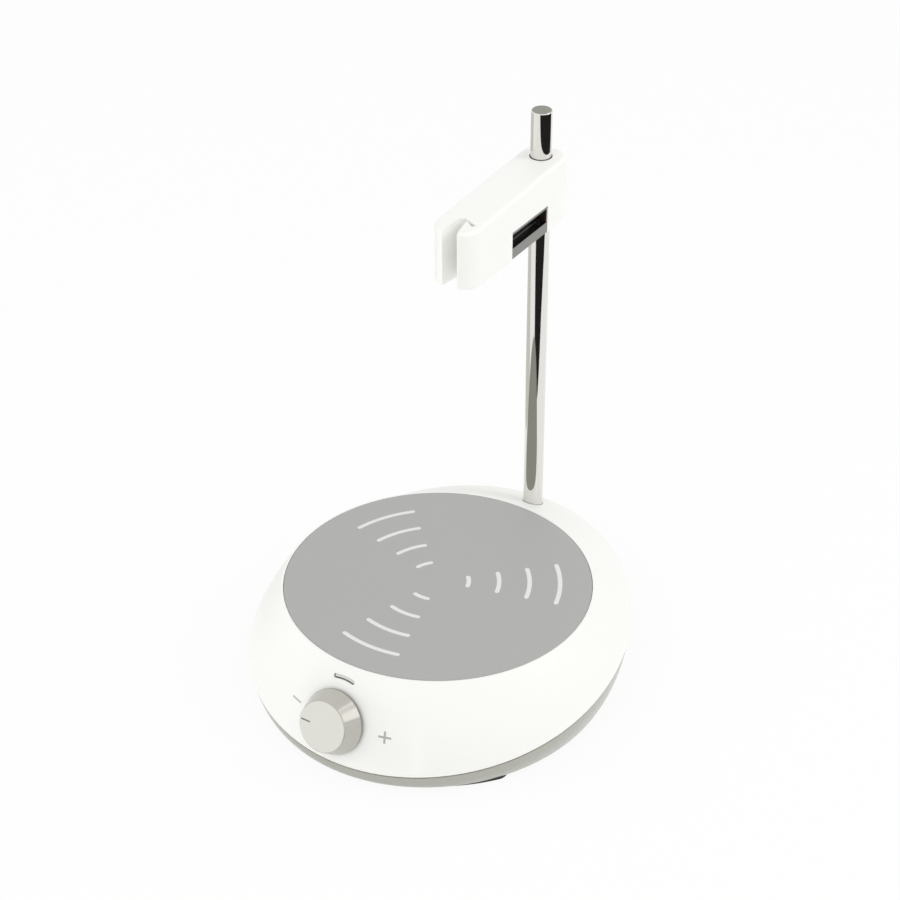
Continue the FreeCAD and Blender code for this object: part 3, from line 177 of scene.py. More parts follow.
@dataclass(frozen=True)
class Finish:
    """One surface finish: a colour and a roughness that vary a little, a fine bump, and zones."""

    name: str
    colour: str
    roughness: float
    metallic: float = 0.0
    ior: float = 1.5
    mottle: float = 0.02
    mottle_mm: float = 30.0
    mottle_detail: float = 3.0
    sheen_spread: float = 0.05
    grain: Grain = Grain.MOULDED
    # Real moulded and ground grain is a few hundredths of a millimetre wide. That is too fine to show in the
    # render, so each finish draws its grain coarser than it is.
    grain_mm: float = 1.2
    grain_detail: float = 2.0
    depth_mm: float = 0.01
    bump_strength: float = 0.5
    zones: tuple[Zone, ...] = ()

    def build(self) -> bpy.types.Material:
        """Make the material, once.

        Returns:
            The material, also when it was made before.
        """
        made = bpy.data.materials.get(self.name)
        if made:
            return made
        material = empty_material(self.name)
        tree = material.node_tree
        place = add_node(tree, "ShaderNodeTexCoord").outputs["Object"]
        cloud = add_node(tree, "ShaderNodeTexNoise", {"Vector": place},
                         {"Scale": 1 / (self.mottle_mm * MM), "Detail": self.mottle_detail}).outputs["Fac"]
        tone = add_node(tree, "ShaderNodeMapRange", {"Value": cloud},
                        {"To Min": 1 - self.mottle, "To Max": 1 + self.mottle}).outputs["Result"]
        colour = add_node(tree, "ShaderNodeHueSaturation", {"Value": tone},
                          {"Color": linear(self.colour)}).outputs["Color"]
        gloss = add_node(tree, "ShaderNodeMapRange", {"Value": cloud},
                         {"To Min": max(0.0, self.roughness - self.sheen_spread),
                          "To Max": self.roughness + self.sheen_spread}).outputs["Result"]
        links = {"Base Color": colour, "Roughness": gloss, "Normal": self.bump(tree, place)}
        for zone in self.zones:
            self.divide(tree, place, links, zone)
        shader = add_node(tree, "ShaderNodeBsdfPrincipled", links,
                          {"IOR": self.ior} if "Metallic" in links else {"IOR": self.ior, "Metallic": self.metallic})
        add_node(tree, "ShaderNodeOutputMaterial", {"Surface": shader.outputs["BSDF"]})
        return material

    def divide(self, tree: bpy.types.NodeTree, place: bpy.types.NodeSocket, links: dict, zone: Zone) -> None:
        """Change the shader's links so that a zone gets its own colour, roughness and metal.

        Args:
            tree: The material's node tree.
            place: Object coordinates.
            links: Links of the shader, changed in place.
            zone: The zone.
        """
        inside = zone.mask(tree, place)
        links["Base Color"] = add_node(tree, "ShaderNodeMix", {0: inside, 6: links["Base Color"]},
                                       {7: linear(zone.colour)}, data_type="RGBA").outputs[2]
        links["Roughness"] = add_node(tree, "ShaderNodeMix", {0: inside, 2: links["Roughness"]},
                                      {3: zone.roughness}).outputs[0]
        if "Metallic" in links:
            links["Metallic"] = add_node(tree, "ShaderNodeMix", {0: inside, 2: links["Metallic"]},
                                         {3: zone.metallic}).outputs[0]
        elif zone.metallic != self.metallic:
            links["Metallic"] = add_node(tree, "ShaderNodeMapRange", {"Value": inside},
                                         {"To Min": self.metallic, "To Max": zone.metallic}).outputs["Result"]

    def bump(self, tree: bpy.types.NodeTree, place: bpy.types.NodeSocket) -> bpy.types.NodeSocket:
        """Add the fine bump of this finish.

        Args:
            tree: The material's node tree.
            place: Object coordinates.

        Returns:
            The bumped normal.
        """
        fine = 1 / (self.grain_mm * MM)
        mapped = add_node(tree, "ShaderNodeMapping", {"Vector": place},
                          {"Scale": [fine * share for share in self.grain.value]}).outputs["Vector"]
        noise = add_node(tree, "ShaderNodeTexNoise", {"Vector": mapped},
                         {"Scale": 1.0, "Detail": self.grain_detail})
        return add_node(tree, "ShaderNodeBump", {"Height": noise.outputs["Fac"]},
                        {"Strength": self.bump_strength, "Distance": self.depth_mm * MM}).outputs["Normal"]


# Places that pieces and zones share, in millimetres.
# The rod's axis and top, and how far from its top the sawn end shows.
ROD_Y = 89.8
ROD_TOP = 268.4
ROD_END_FROM = -0.25
# The arm's turn round the rod, its sloping underside, and how far out from the rod's axis the bar's face, painted
# grey as a painted reflection, begins.
ARM_TURN = math.radians(3.0)
ARM_ACROSS = (math.cos(ARM_TURN), math.sin(ARM_TURN), 0.0)
ARM_BOTTOM = 213.0
ARM_SLOPE = 4.0 / 85.9
BAR_FACE_FROM = 10.7
# The knob's axis where it meets the shell, and where along it the knob's lip ends and its face begins; the lip is
# painted darker as painted shade of the gap under the knob.
PANEL_AT = (0.0, -88.481, 28.941)
PANEL_OUT = (0.0, -0.93787, 0.34700)
PANEL_IN = (0.0, 0.93787, -0.34700)
KNOB_LIP_SHADE_TOP = 1.4
KNOB_FACE_FROM = 10.35
# How far from the knob's axis the painted shade along the lens's lower edge reaches, and how far to the left the
# painted shade at its end begins.
LENS_SHADE_EDGE = 21.05
LENS_SHADE_END = 5.2
# The mouth of the power inlet and the radius of its pin.
INLET_AT = (-34.0, 86.0, 20.0)
INLET_PIN = 1.06

# Injection-moulded ABS from a polished mould: near white, even, with a soft gloss.
WHITE_ABS = Finish("white_abs_moulded", "#FBFBF8", 0.34, mottle=0.005, mottle_mm=60, grain_mm=1.6, depth_mm=0.003)
# Injection-moulded ABS with a half-gloss skin: light grey, brighter where it turns away.
GREY_ABS = Finish("grey_abs_half_gloss", "#B1B1A9", 0.22, mottle=0.012, mottle_mm=45, grain_mm=0.8, depth_mm=0.01)
# Lacquered polyester plate: mid grey, smooth, faintly glossy.
PLATE_LACQUER = Finish("grey_plate_lacquer", "#AEAFAD", 0.42, mottle=0.012, mottle_mm=80, grain_mm=0.9,
                       depth_mm=0.004)
# Printed ink in the plate's grooves: pale and flat.
PALE_INK = Finish("pale_arc_ink", "#E6E7E6", 0.5, mottle=0.01, mottle_mm=12, grain_mm=0.6, depth_mm=0.005)
# Knob with a silver-lacquered skirt and a satin face in warm pale grey; its lip next to the shell is painted darker,
# as painted shade of the gap under the knob.
KNOB_LACQUER = Finish("silver_knob_lacquer", "#BBB9B1", 0.17, metallic=0.22, mottle=0.01, mottle_mm=20, grain_mm=0.7,
                      depth_mm=0.002,
                      zones=(Zone(Reach.BEYOND_PLANE, PANEL_AT, PANEL_OUT, KNOB_FACE_FROM, "#DEDDD6", 0.42),
                             Zone(Reach.BEYOND_PLANE, PANEL_AT, PANEL_IN, -KNOB_LIP_SHADE_TOP, "#86847E", 0.4)))
# Filled line on the knob: dark grey paint.
LINE_PAINT = Finish("dark_line_paint", "#6E6C65", 0.6, mottle=0.05, mottle_mm=2, grain_mm=0.4, depth_mm=0.005)
# Printed sign ink on the shell: light grey and mid grey.
MINUS_INK = Finish("light_grey_sign_ink", "#C4C4C1", 0.5, mottle=0.03, mottle_mm=3, grain_mm=0.4, depth_mm=0.004)
PLUS_INK = Finish("mid_grey_sign_ink", "#B6B6B3", 0.5, mottle=0.03, mottle_mm=3, grain_mm=0.4, depth_mm=0.004)
# Diffusing acrylic lens, unlit: pale, with painted shade along its lower edge and round its left end, standing for
# the shade of the slot it sits in.
LENS_ACRYLIC = Finish("pale_lens_acrylic", "#D9D9D6", 0.25, ior=1.49, mottle=0.03, mottle_mm=4, grain_mm=0.5,
                      depth_mm=0.004,
                      zones=(Zone(Reach.NEAR_LINE, PANEL_AT, PANEL_OUT, LENS_SHADE_EDGE, "#4A4946", 0.5),
                             Zone(Reach.BEYOND_PLANE, PANEL_AT, (-1, 0, 0), LENS_SHADE_END, "#6A6966", 0.5)))
# Bright chromium plate on a ground rod: a mirror with faint grinding marks; its sawn end is dull.
CHROME = Finish("bright_chrome_plate", "#E4E3DF", 0.06, metallic=1.0, mottle=0.015, mottle_mm=25,
                sheen_spread=0.02, grain=Grain.TURNED, grain_mm=0.5, depth_mm=0.0006,
                zones=(Zone(Reach.BEYOND_PLANE, (0, ROD_Y, ROD_TOP), (0, 0, 1), ROD_END_FROM, "#94938A", 0.55,
                            0.35),))
# Nitrile rubber: near black and matte.
RUBBER = Finish("black_nitrile_rubber", "#1E1B19", 0.75, mottle=0.08, mottle_mm=8, grain_mm=0.5, depth_mm=0.02)
# Silicone gasket: pale grey and soft-looking.
SILICONE = Finish("pale_grey_silicone", "#CFCFCC", 0.6, mottle=0.03, mottle_mm=8, grain_mm=0.6, depth_mm=0.01)
# Zinc-plated steel: bright grey with a soft shine.
ZINC = Finish("zinc_plated_steel", "#B9BABB", 0.3, metallic=1.0, mottle=0.04, mottle_mm=4, grain_mm=0.5,
              depth_mm=0.003)
# Ground steel of shafts and bearings: bright, with fine rings.
GROUND_STEEL = Finish("ground_steel", "#C4C4C3", 0.2, metallic=1.0, mottle=0.02, mottle_mm=6, grain=Grain.TURNED,
                      grain_mm=0.3, depth_mm=0.002)
# Turned aluminium: pale grey metal with tool marks.
ALUMINIUM = Finish("turned_aluminium", "#CBCCCD", 0.35, metallic=1.0, mottle=0.02, mottle_mm=8, grain=Grain.TURNED,
                   grain_mm=0.3, depth_mm=0.004)
# Stacked silicon-steel sheets: dark grey with fine layers.
LAMINATION = Finish("laminated_steel", "#6C6C6E", 0.45, metallic=1.0, mottle=0.05, mottle_mm=5, grain=Grain.TURNED,
                    grain_mm=0.5, depth_mm=0.02)
# Sintered ferrite: dark grey and dull.
FERRITE = Finish("sintered_ferrite", "#454547", 0.6, metallic=0.3, mottle=0.08, mottle_mm=4, grain_mm=0.4,
                 depth_mm=0.01)
# Solder mask on fibreglass: green and glossy.
SOLDER_MASK = Finish("green_solder_mask", "#1F5B36", 0.3, mottle=0.06, mottle_mm=6, grain_mm=0.8, depth_mm=0.01)
# Moulded phenolic and epoxy packages: black, with a dull gloss.
BLACK_RESIN = Finish("black_moulded_resin", "#1B1C1E", 0.5, mottle=0.05, mottle_mm=5, grain_mm=0.5, depth_mm=0.01)
# Moulded jack: dull black resin round a bright nickel-plated pin.
JACK_RESIN = Finish("black_jack_resin", "#1B1C1E", 0.5, mottle=0.05, mottle_mm=5, grain_mm=0.5, depth_mm=0.01,
                    zones=(Zone(Reach.NEAR_LINE, INLET_AT, (0, 1, 0), INLET_PIN, "#CFCDC6", 0.25, 1.0),))
# Moulded acetal sleeve: dark and waxy.
ACETAL = Finish("dark_acetal", "#2A2A29", 0.4, mottle=0.04, mottle_mm=6, grain_mm=0.6, depth_mm=0.006)
# Moulded ABS of the release bar: near black and polished, its own colour and also painted shade in the recess over
# the band; its flush outer face is painted mid grey, as a painted reflection of the pale room on the glossy face.
BAR_ABS = Finish("dark_bar_abs", "#0E0E0D", 0.2, mottle=0.05, mottle_mm=10, grain_mm=1.0, depth_mm=0.003,
                 zones=(Zone(Reach.BEYOND_PLANE, (0, ROD_Y, 0), ARM_ACROSS, BAR_FACE_FROM, "#82827E", 0.38),))
# Moulded ABS along the recess's rounded corner: satin, a little lighter than the bar, as a painted highlight along
# the corner.
FILLET_HIGHLIGHT_ABS = Finish("grey_fillet_highlight_abs", "#2E2E2C", 0.3, mottle=0.05, mottle_mm=6, grain_mm=0.8, depth_mm=0.003)
# Moulded ABS at the recess's end: dark brown with a soft gloss, the brown a painted reflection of the chrome rod seen
# through the recess.
BROWN_REFLECTION_ABS = Finish("dark_brown_reflection_abs", "#2C1A10", 0.35, mottle=0.06, mottle_mm=5, grain_mm=0.8, depth_mm=0.003)
# Cast epoxy of the light: clear, so pale and glossy when it is off.
CLEAR_EPOXY = Finish("clear_epoxy", "#DDE3DC", 0.1, ior=1.55, mottle=0.02, mottle_mm=3, grain_mm=0.5, depth_mm=0.002)


def choose(piece: bpy.types.Object) -> None:
    """Make one object the only selected one, and active.

    Args:
        piece: The object.
    """
    bpy.ops.object.select_all(action="DESELECT")
    piece.select_set(True)
    bpy.context.view_layer.objects.active = piece


def begin(name: str, primitive: Callable[..., set[str]], **sizes: object) -> bpy.types.Object:
    """Add the primitive that a piece starts from, with nothing else selected.

    Args:
        name: Name of the piece.
        primitive: Operator that adds the primitive.
        sizes: The operator's settings.

    Returns:
        The new object.
    """
    bpy.ops.object.select_all(action="DESELECT")
    primitive(**sizes)
    piece = bpy.context.object
    piece.name = name
    piece.data.name = name
    return piece


@contextmanager
def picked(piece: bpy.types.Object, kind: Pick, test: Callable[[Vector, Vector], bool]) -> Iterator[None]:
    """Edit a piece with only the chosen edges or faces selected, and leave edit mode afterwards.

    Args:
        piece: Object to edit.
        kind: Edges or faces.
        test: Takes the middle of an edge or face and a face's normal, in the object's frame.

    Returns:
        A context in which the piece is in edit mode.
    """
    choose(piece)
    bpy.ops.object.mode_set(mode="EDIT")
    bpy.ops.mesh.select_mode(type=kind.value)
    bpy.ops.mesh.select_all(action="DESELECT")
    bpy.ops.object.mode_set(mode="OBJECT")
    mesh = piece.data
    for element in mesh.edges if kind is Pick.EDGES else mesh.polygons:
        corners = [mesh.vertices[i].co for i in element.vertices]
        normal = element.normal if kind is Pick.FACES else Vector()
        element.select = test(sum(corners, Vector()) / len(corners), normal)
    bpy.ops.object.mode_set(mode="EDIT")
    yield
    bpy.ops.object.mode_set(mode="OBJECT")


def everything(middle: Vector, normal: Vector) -> bool:
    """Pick every edge or face."""
    return True


def modify(piece: bpy.types.Object, kind: str, **settings: object) -> None:
    """Add a modifier and apply it.

    Args:
        piece: Object to change.
        kind: Blender's modifier type.
        settings: The modifier's properties.
    """
    choose(piece)
    change = piece.modifiers.new(kind.lower(), kind)
    for key, value in settings.items():
        setattr(change, key, value)
    bpy.ops.object.modifier_apply(modifier=change.name)


def copy_of(piece: bpy.types.Object, name: str) -> bpy.types.Object:
    """Copy an object together with its mesh.

    Args:
        piece: Object to copy.
        name: Name of the copy.

    Returns:
        The copy, with a mesh of its own.
    """
    twin = bpy.data.objects.new(name, piece.data.copy())
    twin.data.name = name
    twin.matrix_world = piece.matrix_world.copy()
    bpy.context.scene.collection.objects.link(twin)
    return twin


def settle(piece: bpy.types.Object, finish: Finish, body: str, slot: str, *nodes: str) -> None:
    """Put a finished piece's place into its mesh, dress it and hang it on its body.

    Args:
        piece: The finished piece.
        finish: Its finish.
        body: Body that it moves with.
        slot: Material slot of the record that it follows; not used.
        nodes: CAD nodes that it stands for.
    """
    choose(piece)
    bpy.ops.object.transform_apply(location=True, rotation=True, scale=True)
    bpy.ops.object.shade_smooth_by_angle(angle=SMOOTH_ANGLE)
    piece.data.materials.clear()
    piece.data.materials.append(finish.build())
    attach(piece, body)
    if nodes:
        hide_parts(*nodes)
    LOG.info("%s on %s, %d faces", piece.name, body, len(piece.data.polygons))


@dataclass
class CrossScrews:
    """One node's screws, each with a rounded head and a cross recess, pointing up.

    Shares are of the head's radius, or of its height for the depth of the cut and the rounding.
    """

    name: str
    node: str
    body: str
    places_mm: list[Triple]
    head_radius_mm: float
    head_height_mm: float
    shank_radius_mm: float
    length_mm: float
    sides: int = 32
    stroke_share: float = 0.34
    reach_share: float = 0.5
    cut_share: float = 1.1
    round_share: float = 0.3
    round_steps: int = 3

    def cutter(self) -> bpy.types.Object:
        """Model the cross that is cut into the head.

        Returns:
            The cross, with its middle at the origin.
        """
        stroke = self.stroke_share * self.head_radius_mm * MM
        cross = begin(self.name + "_cross", bpy.ops.mesh.primitive_cube_add, size=stroke)
        for x, y in ((1, 0), (-1, 0), (0, 1), (0, -1)):
            way = Vector((x, y, 0))
            with picked(cross, Pick.FACES,
                        lambda middle, normal: normal.dot(way) > FACING and middle.dot(way) < stroke):
                bpy.ops.mesh.extrude_region_move(
                    TRANSFORM_OT_translate={"value": way * self.reach_share * self.head_radius_mm * MM})
        cross.scale.z = self.cut_share * self.head_height_mm * MM / stroke
        return cross

    def one(self) -> bpy.types.Object:
        """Model one screw.

        Returns:
            The screw, with the underside of its head at the origin.
        """
        head = self.head_radius_mm * MM
        height = self.head_height_mm * MM
        screw = begin(self.name, bpy.ops.mesh.primitive_cylinder_add, vertices=self.sides, radius=head, depth=height,
                      location=(0, 0, height / 2))
        bpy.ops.object.transform_apply(location=True)
        with picked(screw, Pick.FACES, lambda middle, normal: normal.z > FACING):
            bpy.ops.mesh.inset(thickness=(self.head_radius_mm - self.shank_radius_mm) * MM)
            bpy.ops.mesh.extrude_region_move(TRANSFORM_OT_translate={"value": (0, 0, self.length_mm * MM)})
        with picked(screw, Pick.EDGES,
                    lambda middle, normal: middle.z < NEAR * height and middle.length > (1 - NEAR) * head):
            bpy.ops.mesh.bevel(offset=self.round_share * height, segments=self.round_steps)
        cross = self.cutter()
        modify(screw, "BOOLEAN", operation="DIFFERENCE", object=cross, solver="EXACT")
        bpy.data.objects.remove(cross)
        return screw

    def build(self) -> None:
        """Model one screw, copy it to its places and join the copies."""
        first = self.one()
        copies = [first] + [copy_of(first, f"{self.name}_{i}") for i in range(1, len(self.places_mm))]
        for screw, place in zip(copies, self.places_mm):
            screw.location = Vector(place) * MM
        choose(first)
        bpy.ops.object.transform_apply(location=True)
        for screw in copies[1:]:
            screw.select_set(True)
        if len(copies) > 1:
            bpy.ops.object.join()
        settle(first, ZINC, self.body, "screws", self.node)


@dataclass
class SubAssembly:
    """CAD nodes that belong together, with the finish of each."""

    finishes: dict[str, Finish] = field(default_factory=dict)

    def dress(self) -> None:
        """Give each CAD node of the sub-assembly its finish."""
        for name, finish in self.finishes.items():
            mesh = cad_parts[name].data
            mesh.materials.clear()
            mesh.materials.append(finish.build())
            LOG.info("%s in %s", name, finish.name)

    def build(self) -> None:
        """Model the pieces that the CAD nodes don't have, if there are any."""


@dataclass
class BaseUnit(SubAssembly):
    """Housing, pan, vessel plate, feet, and the socket and screws under them."""

    finishes: dict[str, Finish] = field(default_factory=lambda: {
        "upper_housing": WHITE_ABS, "base_pan": GREY_ABS, "top_plate": PLATE_LACQUER, "plate_arcs": PALE_INK,
        "plate_gasket": SILICONE, "foot_1": RUBBER, "foot_2": RUBBER, "foot_3": RUBBER, "foot_4": RUBBER,
        "housing_screws": ZINC, "rod_socket": ALUMINIUM, "rod_socket_screw": ZINC, "rod_grub_screw": ZINC,
        "driver_board": SOLDER_MASK, "driver_parts": BLACK_RESIN, "driver_screws": ZINC, "power_inlet": JACK_RESIN})
    foot_count: int = 4
    foot_rim_mm: float = 1.6
    foot_hollow_mm: float = 0.7
    foot_round_mm: float = 0.3
    foot_round_steps: int = 3
    foot_edge_deg: float = 40.0
    weld_mm: float = 0.001
    flat_deg: float = 1.0
    sleeve_radius_mm: float = 2.62
    sleeve_length_mm: float = 6.0
    sleeve_wall_mm: float = 0.16
    sleeve_setback_mm: float = 0.7
    sleeve_sides: int = 48
    flare_mm: float = 0.5
    flare_share: float = 1.05
    post_offset_mm: float = 50.912
    post_seat_mm: float = 4.0
    housing_screw_mm: ScrewSize = (2.8, 2.0, 1.5, 32.0)
    socket_screw_at_mm: Triple = (0.0, ROD_Y, 1.0)
    socket_screw_mm: ScrewSize = (4.2, 2.0, 2.5, 12.0)

    def foot(self, name: str) -> None:
        """Model one rubber foot over its CAD node: rounded edges and a shallow hollow underneath.

        Args:
            name: CAD node of the foot.
        """
        pad = copy_of(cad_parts[name], name.replace("foot", "rubber_foot"))
        with picked(pad, Pick.FACES, everything):
            bpy.ops.mesh.remove_doubles(threshold=self.weld_mm * MM)
            bpy.ops.mesh.dissolve_limited(angle_limit=math.radians(self.flat_deg))
        with picked(pad, Pick.FACES, lambda middle, normal: normal.z < -FACING):
            bpy.ops.mesh.inset(thickness=self.foot_rim_mm * MM)
            bpy.ops.mesh.extrude_region_move(TRANSFORM_OT_translate={"value": (0, 0, self.foot_hollow_mm * MM)})
        modify(pad, "BEVEL", width=self.foot_round_mm * MM, segments=self.foot_round_steps, limit_method="ANGLE",
               angle_limit=math.radians(self.foot_edge_deg))
        settle(pad, RUBBER, "base", "feet", name)

    def inlet_sleeve(self) -> None:
        """Model the spring sleeve inside the power inlet's bore, flared at its mouth."""
        sleeve = begin("inlet_sleeve", bpy.ops.mesh.primitive_cylinder_add, vertices=self.sleeve_sides,
                       radius=self.sleeve_radius_mm * MM, depth=self.sleeve_length_mm * MM, end_fill_type="NOTHING",
                       rotation=(QUARTER_TURN, 0, 0))
        half = self.sleeve_length_mm / 2 * MM
        bpy.ops.object.transform_apply(rotation=True)
        with picked(sleeve, Pick.EDGES, lambda middle, normal: middle.y > (1 - NEAR) * half):
            bpy.ops.mesh.extrude_edges_move(TRANSFORM_OT_translate={"value": (0, self.flare_mm * MM, 0)})
            bpy.ops.transform.resize(value=(self.flare_share, 1.0, self.flare_share))
        modify(sleeve, "SOLIDIFY", thickness=self.sleeve_wall_mm * MM, offset=-1.0)
        sleeve.location = Vector(INLET_AT) * MM - Vector((0, half + self.sleeve_setback_mm * MM, 0))
        settle(sleeve, GROUND_STEEL, "base", "shafts")

    def build(self) -> None:
        """Model the feet, the inlet's sleeve and the screws that show underneath."""
        for i in range(self.foot_count):
            self.foot(f"foot_{i + 1}")
        self.inlet_sleeve()
        corners = [(x * self.post_offset_mm, y * self.post_offset_mm, self.post_seat_mm)
                   for x in (-1, 1) for y in (-1, 1)]
        CrossScrews("cross_housing_screws", "housing_screws", "base", corners, *self.housing_screw_mm).build()
        CrossScrews("cross_socket_screw", "rod_socket_screw", "base", [self.socket_screw_at_mm],
                    *self.socket_screw_mm).build()


@dataclass
class ControlPanel(SubAssembly):
    """Speed knob, indicator and the minus and plus signs beside the knob."""

    finishes: dict[str, Finish] = field(default_factory=lambda: {
        "speed_knob": KNOB_LACQUER, "knob_pointer": LINE_PAINT, "pot_shaft": GROUND_STEEL,
        "potentiometer": BLACK_RESIN, "pot_nut": ZINC, "front_board": SOLDER_MASK, "front_board_screws": ZINC,
        "indicator_led": CLEAR_EPOXY, "indicator_lens": LENS_ACRYLIC})
    stroke_mm: float = 1.0
    minus_at_mm: Pair = (-23.8, 1.2)
    minus_half_mm: float = 3.0
    minus_turn_deg: float = -9.0
    plus_at_mm: Pair = (25.8, 0.8)
    plus_half_mm: float = 3.0
    plus_turn_deg: float = 6.0
    ink_mm: float = 0.06
    lift_mm: float = 0.01
    start_mm: float = 12.0
    cuts: int = 5

    def place(self) -> Matrix:
        """Work out where the panel is.

        Returns:
            The panel's frame: Z out of the shell along the knob's axis, X to the right.
        """
        out = Vector(PANEL_OUT).normalized()
        right = Vector((1, 0, 0))
        turn = Matrix((right, out.cross(right), out)).transposed().to_4x4()
        return Matrix.Translation(Vector(PANEL_AT) * MM) @ turn

    def sign(self, name: str, at_mm: Pair, turn_deg: float, reach_mm: list[Triple], ink: Finish) -> None:
        """Model one printed sign and lay it on the shell.

        Args:
            name: Name of the piece.
            at_mm: Its middle, to the right of the knob's axis and up the slope.
            turn_deg: How far it is turned, so that it lies level on the round shell.
            reach_mm: Direction and length of each stroke from the middle: x, y and the length.
            ink: Its finish.
        """
        half = self.stroke_mm / 2 * MM
        sign = begin(name, bpy.ops.mesh.primitive_plane_add, size=2 * half)
        for x, y, length in reach_mm:
            way = Vector((x, y, 0))
            with picked(sign, Pick.EDGES, lambda middle, normal: abs(middle.dot(way) - half) < NEAR * half
                        and middle.cross(way).length < NEAR * half):
                bpy.ops.mesh.extrude_edges_move(TRANSFORM_OT_translate={"value": way * (length * MM - half)})
        with picked(sign, Pick.FACES, everything):
            bpy.ops.mesh.normals_make_consistent()
            bpy.ops.mesh.subdivide(number_cuts=self.cuts)
        seat = Matrix.Translation(Vector((*at_mm, self.start_mm)) * MM)
        sign.matrix_world = self.place() @ seat @ Matrix.Rotation(math.radians(turn_deg), 4, "Z")
        modify(sign, "SHRINKWRAP", target=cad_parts["upper_housing"], wrap_method="PROJECT", use_project_z=True,
               use_negative_direction=True, use_positive_direction=False, offset=self.lift_mm * MM)
        modify(sign, "SOLIDIFY", thickness=self.ink_mm * MM, offset=1.0)
        settle(sign, ink, "base", "pointer")

    def build(self) -> None:
        """Model the two signs."""
        level = [(x, 0, self.minus_half_mm) for x in (1, -1)]
        crossed = [(x, y, self.plus_half_mm) for x, y in ((1, 0), (-1, 0), (0, 1), (0, -1))]
        self.sign("minus_sign", self.minus_at_mm, self.minus_turn_deg, level, MINUS_INK)
        self.sign("plus_sign", self.plus_at_mm, self.plus_turn_deg, crossed, PLUS_INK)


@dataclass
class StirDrive(SubAssembly):
    """Motor, bracket, magnets and shaft under the plate."""

    finishes: dict[str, Finish] = field(default_factory=lambda: {
        "motor_can": ZINC, "motor_cap": ZINC, "motor_stator": LAMINATION, "bearing_lower": GROUND_STEEL,
        "bearing_upper": GROUND_STEEL, "motor_bracket": ZINC, "bracket_screws": ZINC, "motor_screws": ZINC,
        "drive_shaft": GROUND_STEEL, "rotor_core": LAMINATION, "magnet_carrier": ALUMINIUM,
        "drive_magnets": FERRITE})


